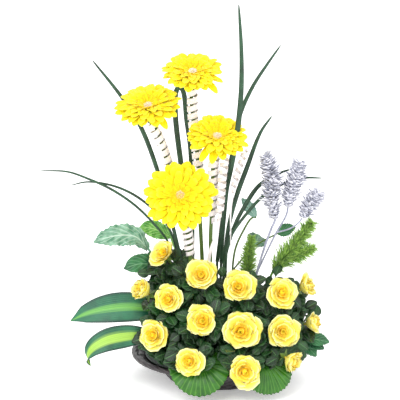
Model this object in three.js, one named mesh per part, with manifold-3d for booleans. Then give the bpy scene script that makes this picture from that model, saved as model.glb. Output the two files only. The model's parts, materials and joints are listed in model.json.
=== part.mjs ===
// A flower basket arrangement: a shallow woven basket with a liner and a block of floral foam, in
// which gerberas, roses, strap leaves, silver sprays, plumes and broad leaves stand in plain holes.
// Millimetres, +Z up. The origin is the centre of the basket's underside, and the front is at -Y.

import * as THREE from 'three';
import { mergeVertices } from 'three/addons/utils/BufferGeometryUtils.js';
import Module from 'manifold-3d';

const wasm = await Module();
wasm.setup();

// ---------------------------------------------------------------- driving dimensions

const GAP = 0.3;            // clear distance between pieces that touch
const HOLE_END = 3;         // how far a stem's hole goes on under it
const WELD = 1e-4;          // vertices closer than this are one
const TURN = 2 * Math.PI;
const SEED_STEP = 1000;     // room for the tries of one branch in the series of scattered numbers

const BASKET = {
  baseRadius: 77, rimRadius: 129, height: 42, flare: 1.4, foot: 3, wall: 4, inside: [33, 26, 17, 9],
  stakes: 30, rows: 4, relief: 1.6, roll: 4, twist: 0.5, rimTurns: [-1.0, 0.6, 2.0, 3.6],
};
const LINER = { wall: 1.6, clearance: 2.6, levels: [9, 17, 26, 36], sides: 20 };
const FOAM = { floor: 6.2, radius: 67, swell: 2, top: 80, chamfer: 8, sides: 16 };

const GERBERA = {
  thickness: 1.1, stemRadius: 3, seat: 5, cup: 8, cupDepth: 10, cupLip: 2, cupSides: 7, neck: 8,
};
const GERBERA_EYE = { reach: 0.12, inner: 0.09, foot: 3.5, edge: 8, top: 9.5, middle: 9, sides: 8 };
const GERBERA_PETAL = [[-0.50, 0.42], [-0.30, 0.84], [0, 1], [0.30, 0.84]];
const GERBERA_LAYERS = [
  { count: 15, reach: 1.00, base: -1.5, foot: -5.0, rise: 0.25, droop: 0.07 },
  { count: 12, reach: 0.80, base: 1.0, foot: -3.0, rise: 0.31, droop: 0.06 },
  { count: 8, reach: 0.46, base: 4.2, foot: -1.3, rise: 0.24, droop: 0.02 },
];

const ROSE = {
  thickness: 1.1, tuck: 0.10, swell: 1.9, lift: 1.15, lipFrom: 6, lipDrop: 0.6, seat: 0.7, budSides: 5,
  stemRadius: 1.8, trunkRadius: 2.2,
};
const ROSE_PETAL = [[-0.50, 0.30], [-0.40, 0.90], [0.02, 1], [0.42, 0.88]];
const ROSE_BUD = [[0, 0.24], [0.20, 0.60], [0.09, 0.97], [0, 0.92]];
const ROSE_FORMS = {
  open: {
    tall: 0.92,
    layers: [
      { count: 4, lip: 0.50, height: 0.98, curl: 0.03, base: 6.5, foot: 3.0 },
      { count: 4, lip: 0.76, height: 0.88, curl: 0.05, base: 4.5, foot: 1.0 },
      { count: 5, lip: 0.98, height: 0.70, curl: 0.10, base: 2.5, foot: 0 },
    ],
  },
  bud: {
    tall: 1.75,
    layers: [
      { count: 4, lip: 0.56, height: 0.98, curl: 0.05, base: 4.5, foot: 1.0 },
      { count: 4, lip: 0.88, height: 0.84, curl: 0.14, base: 2.5, foot: 0 },
    ],
  },
};
const CALYX = { sepals: 5, sepal: 12, notch: 4.5, drop: 3.6, depth: 7, neck: 9 };
const BRANCH_BOW = { share: 0.55, rise: 3 };

const RIBBON = {
  thickness: 0.7, stepsPerTurn: 4, standOff: 1.1, wrapRadius: 8, coilEnd: 1.5, drawIn: 8, tailSteps: 5,
  tailTwist: 0.6,
};
const LEAFLET = {
  thickness: 0.8, rows: 3, tries: 49, shortest: 32, longest: 48, slim: 0.36, series: 7, neck: 0.06,
  tooth: 0.14, fullness: 0.75, sweep: 0.04, fold: 0.22, mostSag: 0.22, firstShare: 0.14, lastShare: 0.94,
};
const LEAF_LOOK = { swing: 2.4, climb: 0.9, dip: 0.35, sideways: 0.3, forward: -0.55, up: 0.6, outward: 0.5 };
const STRAP = { thickness: 1, rows: 6, fold: 0.4, widen: 2.2, narrow: 0.35, tip: 0.12 };
const BRUSH = { core: 2.2, lean: 0.7, ends: 0.4, uneven: 0.3, bulge: 0.7 };
const BROAD = { thickness: 1, columns: 4, rows: 6, neck: 0.05, run: 0.92, fullness: 0.75, lift: 0.12 };
const FAN = { thickness: 1, rows: 2, pleats: 14, fold: 0.035, neck: 0.06, scallop: 0.10 };

const STALK_SIDES = 5;
const TWIG_SIDES = 4;
const STALK_RADIUS = { strap: 1.9, tuft: 2.2, plume: 1.8, broad: 1.8, round: 2, spray: 1.6, twig: 1.3 };

// ---------------------------------------------------------------- places of the flowers and leaves

// Gerbera heads: centre of the face, the way it faces, and radius; then the stem down to the foam, and the
// ribbon wound round it, between two shares of its length.
const GERBERAS = {
  a: { face: [-38, 0, 465], axis: [0.02, -0.43, 0.90], radius: 46,
    stem: [[-40, 14, 430], [-36, 13, 385], [-30, 12, 330], [-27, 12, 246], [-23, 12, 160], [-20, 12, 42]],
    wrap: { from: 0.06, to: 0.34, turns: 9, width: 9 } },
  b: { face: [-103, -20, 418], axis: [-0.10, -0.43, 0.90], radius: 49,
    stem: [[-94, -4, 390], [-78, -1, 340], [-57, 0, 268], [-41, 2, 200], [-33, 2, 130], [-30, 2, 42]],
    wrap: { from: 0.09, to: 0.46, turns: 11, width: 9 } },
  c: { face: [-2, -25, 373], axis: [0.06, -0.48, 0.87], radius: 47,
    stem: [[-6, -14, 350], [-8, -10, 305], [-9, -7, 270], [-11, -3, 220], [-11, 0, 150], [-9, 1, 42]],
    wrap: { from: 0.05, to: 0.34, turns: 7, width: 9 } },
  d: { face: [-56, -60, 295], axis: [-0.02, -0.83, 0.56], radius: 54,
    stem: [[-55, -47, 290], [-50, -36, 262], [-45, -26, 225], [-41, -20, 185], [-38, -16, 120],
      [-37, -15, 42]],
    wrap: { from: 0.16, to: 0.40, turns: 6, width: 6.5 } },
};

const PARTED_GERBERA = 'c';     // the head that the strap leaf tall_a passes through

// Free ribbon coils: path of the middle of the coil, radius, turns, and the width of the ribbon.
const COILS = {
  middle: { path: [[9, -20, 357], [9, -20, 337], [6, -20, 313], [4, -21, 288], [1, -22, 252]],
    tail: [[1, -22, 252], [-3, -24, 226], [-12, -26, 200], [-16, -28, 150], [-14, -28, 81]],
    radius: 6.5, turns: 9, width: 6 },
  right: { path: [[42, -6, 356], [34, -8, 334], [27, -9, 312], [22, -10, 290]],
    tail: [[22, -10, 290], [19, -15, 262], [19, -22, 225], [18, -27, 150], [15, -28, 81]],
    radius: 4.8, turns: 6, width: 5 },
};

// Roses: centre of the face, the way it faces, radius, and form.
const ROSES = {
  r01: { face: [-87, -20, 200], axis: [-0.50, -0.50, 0.70], radius: 22, form: 'open' },
  r02: { face: [-27, -62, 179], axis: [-0.04, -0.84, 0.54], radius: 26, form: 'open' },
  r03: { face: [-76, -75, 144], axis: [-0.25, -0.90, 0.36], radius: 23, form: 'open' },
  r04: { face: [-118, -45, 151], axis: [-0.72, -0.35, 0.60], radius: 17, form: 'bud' },
  r05: { face: [32, -78, 164], axis: [0.10, -0.85, 0.50], radius: 26, form: 'open' },
  r06: { face: [97, -62, 148], axis: [0.25, -0.86, 0.44], radius: 25, form: 'open' },
  r07: { face: [139, -10, 145], axis: [0.78, -0.35, 0.52], radius: 16, form: 'bud' },
  r08: { face: [-26, -112, 120], axis: [-0.10, -0.94, 0.32], radius: 25, form: 'open' },
  r09: { face: [35, -116, 106], axis: [0.06, -0.96, 0.27], radius: 30, form: 'open' },
  r10: { face: [99, -88, 95], axis: [0.25, -0.93, 0.26], radius: 26, form: 'open' },
  r11: { face: [147, -35, 94], axis: [0.90, -0.34, 0.26], radius: 15, form: 'bud' },
  r12: { face: [-98, -88, 89], axis: [-0.35, -0.90, 0.25], radius: 24, form: 'open' },
  r13: { face: [-43, -142, 66], axis: [-0.15, -0.96, 0.22], radius: 22, form: 'open' },
  r14: { face: [39, -152, 55], axis: [0.10, -0.97, 0.22], radius: 27, form: 'open' },
  r15: { face: [114, -105, 52], axis: [0.74, -0.62, -0.28], radius: 16, form: 'bud' },
};

// Leafy rose stems: root in the foam, the points up to the fork, and the roses they carry.
const ROSE_STEMS = {
  upper_left: { stem: [[-40, -24, 48], [-52, -24, 84], [-66, -22, 124]], carries: ['r01', 'r04'] },
  left: { stem: [[-34, -34, 48], [-48, -46, 74], [-60, -54, 92]], carries: ['r03', 'r12'] },
  middle: { stem: [[-14, -32, 48], [-18, -46, 84], [-22, -58, 108]], carries: ['r02', 'r08'] },
  front_left: { stem: [[-18, -46, 40], [-26, -72, 62], [-34, -100, 70]], carries: ['r13'] },
  upper_right: { stem: [[24, -26, 48], [36, -40, 84], [50, -46, 112]], carries: ['r05', 'r06'] },
  front: { stem: [[6, -42, 40], [18, -68, 66], [26, -88, 74]], carries: ['r09', 'r14'] },
  right: { stem: [[46, -18, 48], [70, -20, 82], [92, -20, 100]], carries: ['r07', 'r11'] },
  front_right: { stem: [[36, -38, 40], [58, -58, 66], [76, -68, 72]], carries: ['r10', 'r15'] },
};

// Strap leaves: middle line from the tip down to the blade's foot, then the root in the foam.
const STRAPS = {
  tall_a: { blade: [[30, -6, 573], [34, -10, 506], [34, -17, 450], [30, -23, 400], [26, -22, 370],
    [20, -8, 330], [13, 7, 290], [7, 12, 240], [-1, 14, 175]],
  root: [[-1, 14, 178], [-2, 15, 120], [-2, 15, 44]], halfWidth: 4.2 },
  tall_b: { blade: [[93, 26, 506], [75, 26, 480], [52, 25, 444], [33, 24, 401], [23, 23, 350], [14, 24, 290],
    [8, 25, 220], [5, 26, 170]], root: [[5, 26, 173], [4, 27, 120], [4, 27, 44]], halfWidth: 3.6 },
  tall_c: { blade: [[80, 8, 402], [66, 8, 382], [58, 8, 365], [45, 8, 328], [28, 6, 280], [16, 3, 232],
    [9, 2, 175]], root: [[9, 2, 178], [8, 2, 120], [8, 2, 44]], halfWidth: 3.8 },
  left_e: { blade: [[-187, 26, 483], [-145, 28, 428], [-117, 26, 384], [-93, 18, 323], [-71, 8, 245],
    [-56, -2, 185]], root: [[-56, -2, 188], [-51, -4, 120], [-50, -4, 44]], halfWidth: 3.6 },
};
const ARCHED_PAIR = {
  blades: [
    { line: [[110, 24, 317], [88, 23, 309], [62, 18, 293], [42, 10, 266], [25, 0, 235], [13, -8, 198]],
      halfWidth: 3.4 },
    { line: [[157, 20, 304], [127, 20, 304], [96, 17, 295], [69, 12, 279], [42, 2, 252], [20, -9, 222],
      [13, -9, 195]], halfWidth: 2.6 },
  ],
  root: [[13, -8.5, 200], [11, -11, 150], [10, -12, 100], [10, -12, 44]],
};
const FOLDED_LEAF = {
  blades: [
    { line: [[-52, 25, 451], [-62, 24, 438], [-64, 24, 405], [-57, 24, 336], [-46, 25, 260], [-38, 26, 176]],
      halfWidth: 4.2, tip: 0.8 },
    { line: [[-62, 25, 448], [-53, 27, 438], [-47, 29, 392], [-41, 30, 345], [-39, 29, 270], [-38, 26, 178]],
      halfWidth: 4.0, tip: 0.8 },
  ],
  root: [[-38, 26, 182], [-35, 26, 120], [-34, 26, 44]],
};
const GRASS_TUFT = {
  blades: [
    { line: [[-266, 14, 317], [-226, 15, 315], [-193, 16, 303], [-160, 17, 287], [-126, 18, 263],
      [-98, 18, 235], [-76, 19, 206], [-62, 20, 172]], halfWidth: 2.0 },
    { line: [[-221, 20, 293], [-197, 20, 298], [-166, 21, 294], [-138, 21, 284], [-110, 21, 266],
      [-80, 21, 236], [-66, 20, 205], [-61, 20, 170]], halfWidth: 2.0 },
  ],
  root: [[-62, 20, 176], [-57, 20, 120], [-54, 18, 44]],
};

// Silver spray: three scaly heads on one branched stem. Each head has its line, the reach of its
// longest leaves, its rings of leaves, and the leaves in a ring.
const SILVER = {
  radii: [1.8, 1.4, 1.2],
  stems: [
    [[40, -5, 44], [46, -5, 90], [59, -5, 163], [70, -6, 203], [80, -6, 232], [86, -6, 248], [81, -6, 283]],
    [[59, -4, 163], [74, 0, 195], [88, 2, 224], [103, 2, 252], [106, 2, 272]],
    [[88, 2, 224], [108, 2, 230], [122, 2, 240], [130, 2, 254]],
  ],
  heads: [
    { line: [[86, -6, 246], [80, -6, 283], [80, -6, 311], [71, -6, 345]], reach: 18, rings: 14, spikes: 5 },
    { line: [[105, 2, 262], [110, 2, 290], [117, 2, 312], [122, 2, 333]], reach: 16, rings: 12, spikes: 5 },
    { line: [[126, 2, 246], [134, 2, 262], [143, 2, 274], [151, 2, 286]], reach: 15, rings: 9, spikes: 5 },
  ],
};

// Foxtail plumes: each branch has a line, the reach of its longest needles, its rings, and the needles
// in a ring.
const PLUMES = {
  small: { root: [[40, 20, 44], [43, 20, 110], [46, 20, 158]],
    branches: [{ line: [[45, 20, 140], [47, 20, 180], [51, 20, 212]], reach: 14, rings: 14, spikes: 6 }] },
  large: { root: [[54, 10, 44], [68, 14, 120], [86, 19, 164]],
    branches: [
      { line: [[84, 18, 160], [104, 20, 183], [124, 22, 208], [142, 22, 234]], reach: 18, rings: 15,
        spikes: 6 },
      { line: [[104, 19, 176], [126, 18, 186], [146, 16, 196]], reach: 14, rings: 6, spikes: 5 },
    ] },
};

// Broad leaves: middle line from the foot to the tip, half width, and how the blade is waved.
const BROAD_LEAVES = {
  pale_leaf: { line: [[-106, 22, 192], [-124, 20, 212], [-146, 16, 216], [-168, 12, 213], [-188, 8, 207]],
    halfWidth: 18, wave: 2.2, waves: 5, across: [0, 0.5, 0.87],
    root: [[-106, 22, 194], [-84, 18, 160], [-62, 8, 110], [-58, 6, 50]] },
  bright_leaf: { line: [[-72, 42, 206], [-86, 42, 214], [-102, 42, 220], [-120, 40, 221]],
    halfWidth: 14, wave: 1.8, waves: 4, across: [0, 0.4, 0.92],
    root: [[-72, 42, 208], [-56, 38, 160], [-46, 34, 100], [-44, 33, 46]] },
  dark_leaf: { line: [[-84, 2, 168], [-100, -2, 175], [-120, -7, 177], [-142, -11, 171]],
    halfWidth: 16, wave: 1.2, waves: 3, across: [0, 0.5, 0.87],
    root: [[-84, 2, 170], [-70, -4, 140], [-62, -8, 90], [-60, -8, 48]] },
  striped_upper: { line: [[-70, -26, 100], [-96, -30, 112], [-130, -32, 117], [-166, -32, 114],
    [-198, -30, 106], [-222, -28, 94]], halfWidth: 23, wave: 1.5, waves: 2, across: [0, 0.45, 0.89],
    root: [[-70, -26, 101], [-60, -22, 84], [-48, -16, 50]] },
  striped_lower: { line: [[-92, -52, 72], [-116, -58, 80], [-144, -64, 80], [-170, -68, 74], [-189, -70, 62],
    [-195, -71, 48], [-191, -71, 37]], halfWidth: 18, wave: 1, waves: 2, across: [0, 0.5, 0.87],
    root: [[-92, -52, 73], [-68, -40, 66], [-44, -30, 48]] },
};

// Small leafy sprays: the lines of their stems, the first one rooted in the foam, then leaves with a foot
// and a tip, and how many more leaves grow along each stem.
const LEAFY_SPRAYS = {
  blue_leaf: {
    stems: [[[58, 30, 240], [52, 29, 240], [38, 26, 219], [26, 23, 190], [21, 24, 120], [20, 24, 44]]],
    leaves: [{ foot: [58, 30, 240], tip: [36, 30, 270] }],
    more: 0, slim: 0.24,
  },
  edge_twig: {
    stems: [
      [[131, -30, 69], [112, -24, 72], [84, -12, 66], [56, -8, 48]],
      [[147, -12, 114], [140, -10, 104], [129, -12, 86], [112, -24, 72]],
    ],
    leaves: [
      { foot: [129, -30, 69], tip: [168, -32, 62] },
      { foot: [126, -29, 68], tip: [160, -38, 53] },
      { foot: [122, -27, 69], tip: [148, -44, 43] },
    ],
    more: 0, slim: 0.30,
  },
  back_spray: {
    stems: [
      [[-8, 92, 84], [-8, 74, 92], [-8, 56, 78], [-8, 44, 44]],
      [[-8, 62, 84], [-44, 74, 86], [-84, 76, 72]],
      [[-8, 62, 84], [34, 74, 86], [76, 76, 72]],
      [[-8, 58, 80], [10, 52, 130], [56, 44, 190], [92, 36, 214]],
    ],
    leaves: [{ foot: [90, 36, 213], tip: [118, 33, 224] }],
    more: 2, slim: 0.36,
  },
};

// Round pleated leaves: where the stalk meets the fan, the turn about z of its forward line, radius,
// half width as a share of it, spread each way, the slopes at which it starts and ends, and how much its
// sides sag.
const ROUND_LEAVES = {
  round_left: {
    heart: [-28, -112, 56], turn: 0, radius: 57, wide: 0.86, spread: 2.3, slopes: [0.35, 1.6], sag: 0,
    root: [[-28, -108, 58], [-27, -90, 63], [-22, -68, 56], [-18, -46, 46]],
  },
  round_right: {
    heart: [66, -100, 53], turn: 0.40, radius: 56, wide: 0.80, spread: 1.9, slopes: [0.30, 1.6], sag: 0.22,
    root: [[65, -96, 54], [58, -82, 56], [44, -62, 52], [30, -44, 46]],
  },
};

// ---------------------------------------------------------------- small helpers

const at = (place) => new THREE.Vector3(...place);
const curveThrough = (points) => new THREE.CatmullRomCurve3(points.map(at), false, 'centripetal');

/** Seeded scatter: the n-th number of a fixed series between 0 and 1. */
function scatter(n) {
  const wide = Math.sin(n * 12.9898 + 4.1414) * 43758.5453;
  return wide - Math.floor(wide);
}

/** Frame whose z runs along an axis and whose y leans towards +Z. */
function frameTo(origin, axis) {
  const z = at(axis).normalize();
  const lean = Math.abs(z.z) > 0.98 ? new THREE.Vector3(0, 1, 0) : new THREE.Vector3(0, 0, 1);
  const x = new THREE.Vector3().crossVectors(lean, z).normalize();
  const y = new THREE.Vector3().crossVectors(z, x);
  return new THREE.Matrix4().makeBasis(x, y, z).setPosition(at(origin));
}

// ---------------------------------------------------------------- solids

/** Solid of vertex positions and triangle corners, turned to face out. */
function solidOfArrays(positions, corners) {
  const vertProperties = new Float32Array(positions);
  const triVerts = new Uint32Array(corners);
  const solid = new wasm.Manifold(new wasm.Mesh({ numProp: 3, vertProperties, triVerts }));
  if (solid.volume() > 0) {
    return solid;
  }
  for (let k = 0; k < triVerts.length; k += 3) {
    [triVerts[k + 1], triVerts[k + 2]] = [triVerts[k + 2], triVerts[k + 1]];
  }
  return new wasm.Manifold(new wasm.Mesh({ numProp: 3, vertProperties, triVerts }));
}

/** Solid of a closed three.js geometry. */
function solidOf(geometry) {
  const bare = geometry.clone();
  bare.deleteAttribute('normal');
  bare.deleteAttribute('uv');
  const merged = mergeVertices(bare, WELD);
  return solidOfArrays(merged.attributes.position.array, merged.index.array);
}

/** Joins solids and keeps the one body that holds them together. */
function fused(solids) {
  const joined = wasm.Manifold.union(solids);
  const bodies = joined.decompose();
  return bodies.reduce((most, body) => (body.volume() > most.volume() ? body : most));
}

/** three.js geometry of a solid. */
function geometryOf(solid) {
  const mesh = solid.getMesh();
  const geometry = new THREE.BufferGeometry();
  geometry.setAttribute('position', new THREE.BufferAttribute(new Float32Array(mesh.vertProperties), 3));
  geometry.setIndex(new THREE.BufferAttribute(new Uint32Array(mesh.triVerts), 1));
  const faceted = geometry.toNonIndexed();
  faceted.computeVertexNormals();
  return faceted;
}

/** Unit normal of a surface at (u, v), from short steps each way. */
function normalOf(surface, u, v) {
  const step = 1e-3;
  const alongU = surface(Math.min(1, u + step), v).sub(surface(Math.max(-1, u - step), v));
  const alongV = surface(u, Math.min(1, v + step)).sub(surface(u, Math.max(0, v - step)));
  return alongU.cross(alongV).normalize();
}

/** Closed blade: a surface with u across (-1 to 1) and v along (0 to 1), given a thickness. */
function blade(surface, across, along, thickness, frame = new THREE.Matrix4()) {
  const columns = across + 1;
  const count = columns * (along + 1);
  const positions = [];
  for (const side of [0.5, -0.5]) {
    for (let j = 0; j <= along; j += 1) {
      for (let i = 0; i <= across; i += 1) {
        const u = (2 * i) / across - 1;
        const v = j / along;
        const point = surface(u, v).addScaledVector(normalOf(surface, u, v), side * thickness);
        positions.push(...point.applyMatrix4(frame).toArray());
      }
    }
  }
  const corners = [];
  for (let j = 0; j < along; j += 1) {
    for (let i = 0; i < across; i += 1) {
      const a = j * columns + i;
      const [b, c, d] = [a + 1, a + 1 + columns, a + columns];
      corners.push(a, b, c, a, c, d);
      corners.push(a + count, c + count, b + count, a + count, d + count, c + count);
    }
  }
  const edge = [];
  for (let i = 0; i < across; i += 1) edge.push(i);
  for (let j = 0; j < along; j += 1) edge.push(j * columns + across);
  for (let i = across; i > 0; i -= 1) edge.push(along * columns + i);
  for (let j = along; j > 0; j -= 1) edge.push(j * columns);
  edge.forEach((p, k) => {
    const q = edge[(k + 1) % edge.length];
    corners.push(p, p + count, q + count, p, q + count, q);
  });
  return solidOfArrays(positions, corners);
}

/** Round tube along a curve through the points, in as many steps as there are points. */
function tube(points, radius, sides) {
  const ring = [];
  for (let k = 0; k < sides; k += 1) {
    const angle = (TURN * k) / sides;
    ring.push(new THREE.Vector2(radius * Math.cos(angle), radius * Math.sin(angle)));
  }
  const options = { steps: points.length, extrudePath: curveThrough(points), bevelEnabled: false };
  return solidOf(new THREE.ExtrudeGeometry(new THREE.Shape(ring), options));
}

/** Solid of revolution about z of a profile of [radius, height], which starts and ends on the axis. */
function turned(profile, sides, frame = new THREE.Matrix4()) {
  const outline = profile.map(([radius, height]) => new THREE.Vector2(radius, height));
  const lathe = new THREE.LatheGeometry(outline, sides).rotateX(Math.PI / 2);
  return solidOf(lathe.applyMatrix4(frame));
}

/** Closed solid of rings of points about z: each row gives [radius, height] for a side, ends on the axis. */
function ringed(rows, sides, floor, ceiling, frame = new THREE.Matrix4()) {
  const points = [new THREE.Vector3(0, 0, floor)];
  rows.forEach((row) => {
    for (let k = 0; k < sides; k += 1) {
      const [radius, height] = row(k);
      const angle = (TURN * k) / sides;
      points.push(new THREE.Vector3(radius * Math.cos(angle), radius * Math.sin(angle), height));
    }
  });
  points.push(new THREE.Vector3(0, 0, ceiling));
  const corners = [];
  const spot = (row, k) => 1 + row * sides + (k % sides);
  for (let k = 0; k < sides; k += 1) {
    corners.push(0, spot(0, k + 1), spot(0, k));
    for (let row = 0; row < rows.length - 1; row += 1) {
      const [a, b, c, d] = [spot(row, k), spot(row, k + 1), spot(row + 1, k + 1), spot(row + 1, k)];
      corners.push(a, b, c, a, c, d);
    }
    corners.push(points.length - 1, spot(rows.length - 1, k), spot(rows.length - 1, k + 1));
  }
  return solidOfArrays(points.flatMap((point) => point.applyMatrix4(frame).toArray()), corners);
}

/** Closed thin sheet cut into lobes round z, on a pointed foot. The surface gives a point at an angle, a
 * share of the way out and a swing; the outline lists one lobe's points as [swing in lobes, share], from
 * the notch before it. */
function lobedSheet(surface, outline, { count, base, foot }, turn, thickness, frame) {
  const step = 1e-3;
  const perSide = 1 + outline.length * count;
  const positions = [];
  const addPoint = (angle, swing, share, away) => {
    const point = surface(angle, share, swing);
    const round = surface(angle + step, share, swing).sub(surface(angle - step, share, swing));
    const outward = surface(angle, share + step, swing).sub(surface(angle, share - step, swing));
    const normal = outward.cross(round).normalize();
    positions.push(...point.addScaledVector(normal, away).applyMatrix4(frame).toArray());
  };
  for (const side of [0.5, -0.5]) {
    const middle = side > 0 ? base + side * thickness : foot;
    positions.push(...at([0, 0, middle]).applyMatrix4(frame).toArray());
    for (let k = 0; k < count; k += 1) {
      outline.forEach(([swing, share]) => {
        addPoint(turn + (TURN * (k + swing)) / count, swing, share, side * thickness);
      });
    }
  }
  const corners = [];
  const spot = (k, point) => 1 + (k % count) * outline.length + point;
  const addFace = (a, b, c) => corners.push(a, b, c, a + perSide, c + perSide, b + perSide);
  for (let k = 0; k < count; k += 1) {
    const rim = [...outline.map((_, point) => spot(k, point)), spot(k + 1, 0)];
    addFace(0, rim[0], rim.at(-1));
    let [low, high] = [0, rim.length - 1];
    while (high - low > 1) {
      addFace(rim[low], rim[low + 1], rim[high]);
      low += 1;
      if (high - low > 1) addFace(rim[low], rim[high - 1], rim[high]);
      high -= 1;
    }
    for (let index = 1; index < rim.length; index += 1) {
      const [p, q] = [rim[index - 1], rim[index]];
      corners.push(p, p + perSide, q + perSide, p, q + perSide, q);
    }
  }
  return solidOfArrays(positions, corners);
}

// ---------------------------------------------------------------- the nodes, gathered as they are made

const MATERIALS = {
  wicker: { color: 0x3c2d32, roughness: 0.7 },
  liner: { color: 0x1f3a2a, roughness: 0.5 },
  foam: { color: 0x2e5a3a, roughness: 0.95 },
  gerbera: { color: 0xfff000, roughness: 0.55 },
  rose: { color: 0xffec7a, roughness: 0.55 },
  stem: { color: 0x5f7d35, roughness: 0.6 },
  ribbon: { color: 0xf6f2ec, roughness: 0.35 },
  strap: { color: 0x325546, roughness: 0.5 },
  foliage: { color: 0x1f4a24, roughness: 0.55 },
  pale: { color: 0x8fae96, roughness: 0.6 },
  bright: { color: 0x4d8f3c, roughness: 0.55 },
  striped: { color: 0x32704e, roughness: 0.45 },
  fan: { color: 0x32781e, roughness: 0.5 },
  silver: { color: 0xb4b7c8, roughness: 0.6 },
  plume: { color: 0x649628, roughness: 0.65 },
};

const arrangement = new THREE.Group();
const made = [];          // solids so far, which a later leaf keeps clear of
const stemHoles = [];     // solids cut from the foam

/** Adds a node to the arrangement. */
function addNode(name, solid, finish) {
  const mesh = new THREE.Mesh(
    geometryOf(solid),
    new THREE.MeshStandardMaterial({ ...MATERIALS[finish], metalness: 0 }),
  );
  mesh.name = name;
  arrangement.add(mesh);
  made.push({ name, solid, box: solid.boundingBox() });
}

/** Whether two boxes meet. */
function boxesMeet(one, other) {
  return [0, 1, 2].every((axis) => one.min[axis] < other.max[axis] && one.max[axis] > other.min[axis]);
}

/** Whether a solid is clear of every node made so far. */
function isClear(solid) {
  const box = solid.boundingBox();
  return made.every((node) => !boxesMeet(node.box, box) || node.solid.intersect(solid).isEmpty());
}

/** Round stem whose lower end stands in a plain hole in the foam. */
function rootedTube(points, radius, sides = STALK_SIDES) {
  const root = at(points.at(-1));
  const down = root.clone().sub(at(points.at(-2))).normalize();
  const deeper = root.addScaledVector(down, HOLE_END);
  stemHoles.push(tube([...points.slice(0, -1), deeper.toArray()], radius + 2 * GAP, sides));
  return tube(points, radius, sides);
}

// ---------------------------------------------------------------- basket, liner and foam

/** Radius of the outside of the bowl at a height: it flares towards the rim. */
function bowlRadius(height) {
  const { baseRadius, rimRadius, height: top, flare } = BASKET;
  return baseRadius + (rimRadius - baseRadius) * (height / top) ** flare;
}

/** Basket: rows of weavers that pass in front of and behind the stakes in turn, under a rolled rim. */
function basket() {
  const { baseRadius, stakes, rows, relief, roll, twist, height, foot, wall } = BASKET;
  const plain = (radius, level) => () => [radius, level];
  const weaveTop = height - 2 * roll + 1;
  const outside = [plain(baseRadius - relief, 0)];
  for (let row = 0; row < rows; row += 1) {
    const level = foot + ((row + 0.5) * (weaveTop - foot)) / rows;
    outside.push((k) => [bowlRadius(level) + relief * ((k + row) % 2 ? 1 : -1), level]);
  }
  const middle = bowlRadius(height) - roll / 2;
  const rim = BASKET.rimTurns.map((angle) => (k) => {
    const bulge = roll + (k % 2 ? twist : -twist);
    return [middle + bulge * Math.cos(angle), height - roll + bulge * Math.sin(angle)];
  });
  const inside = [...BASKET.inside, wall].map((level) => plain(bowlRadius(level) - relief - wall, level));
  return ringed([...outside, ...rim, ...inside], stakes, 0, wall);
}

/** Liner: a thin tray that follows the inside of the bowl. */
function liner() {
  const floor = BASKET.wall + GAP;
  const inset = BASKET.relief + BASKET.wall + LINER.clearance;
  const outside = LINER.levels.map((level) => [bowlRadius(level) - inset, level]);
  const inside = outside.map(([radius, level]) => [radius - LINER.wall, level]).reverse();
  const edge = BASKET.baseRadius - BASKET.wall - LINER.clearance;
  const floorTop = floor + LINER.wall;
  return turned(
    [[0, floor], [edge, floor], ...outside, ...inside, [edge - LINER.wall, floorTop], [0, floorTop]],
    LINER.sides,
  );
}

/** Foam block, before the stem holes are cut: its upper edge is cut off in two slants. */
function foamBlock() {
  const { floor, radius, swell, top, chamfer, sides } = FOAM;
  return turned(
    [[0, floor], [radius, floor], [radius + swell, top - 2 * chamfer], [radius - chamfer, top - chamfer / 3],
      [radius - 3 * chamfer, top], [0, top]],
    sides,
  );
}

// ---------------------------------------------------------------- gerberas

/** Gerbera petal surface: at a share of the reach it has risen from the core, then drooped. */
function gerberaSurface(layer, radius) {
  return (angle, share) => {
    const out = radius * layer.reach * share;
    const height = layer.base + radius * (layer.rise * Math.sin(1.7 * share) - layer.droop * share * share);
    return new THREE.Vector3(out * Math.cos(angle), out * Math.sin(angle), height);
  };
}

/** Head of a gerbera: sheets of petals, each with its foot in the one below, round a low eye. */
function gerberaHead({ face, axis, radius }, seed) {
  const frame = frameTo(face, axis);
  const { reach, inner, foot, edge, top, middle, sides } = GERBERA_EYE;
  const dome = [[0, foot], [reach * radius, edge], [inner * radius, top], [0, middle]];
  const sheets = GERBERA_LAYERS.map((layer, index) => {
    const surface = gerberaSurface(layer, radius);
    return lobedSheet(surface, GERBERA_PETAL, layer, TURN * scatter(seed + index), GERBERA.thickness, frame);
  });
  return fused([turned(dome, sides, frame), ...sheets]);
}

/** Head of a gerbera with a slit between its petals, in which a strap blade passes through it. */
function partedHead(gerbera, seed, strap) {
  const slit = strapBlade(strap.blade, strap.halfWidth + GAP, STRAP.thickness + 2 * GAP);
  return fused([gerberaHead(gerbera, seed).subtract(slit)]);
}

/** Stem of a gerbera with the green cup that holds the head. */
function gerberaStem({ face, axis, stem }) {
  const { stemRadius, cup, cupDepth, cupLip, cupSides, neck } = GERBERA;
  const frame = frameTo(face, axis);
  const seat = -GERBERA.seat - GAP;
  const low = seat - cupDepth;
  const cupProfile = [[0, low], [stemRadius, low], [cup, seat - cupLip], [cup, seat], [0, seat]];
  const inCup = at([0, 0, low + cupLip]).applyMatrix4(frame).toArray();
  const underCup = at([0, 0, low - neck]).applyMatrix4(frame).toArray();
  return fused([turned(cupProfile, cupSides, frame), rootedTube([inCup, underCup, ...stem], stemRadius)]);
}

// ---------------------------------------------------------------- ribbons

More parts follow.
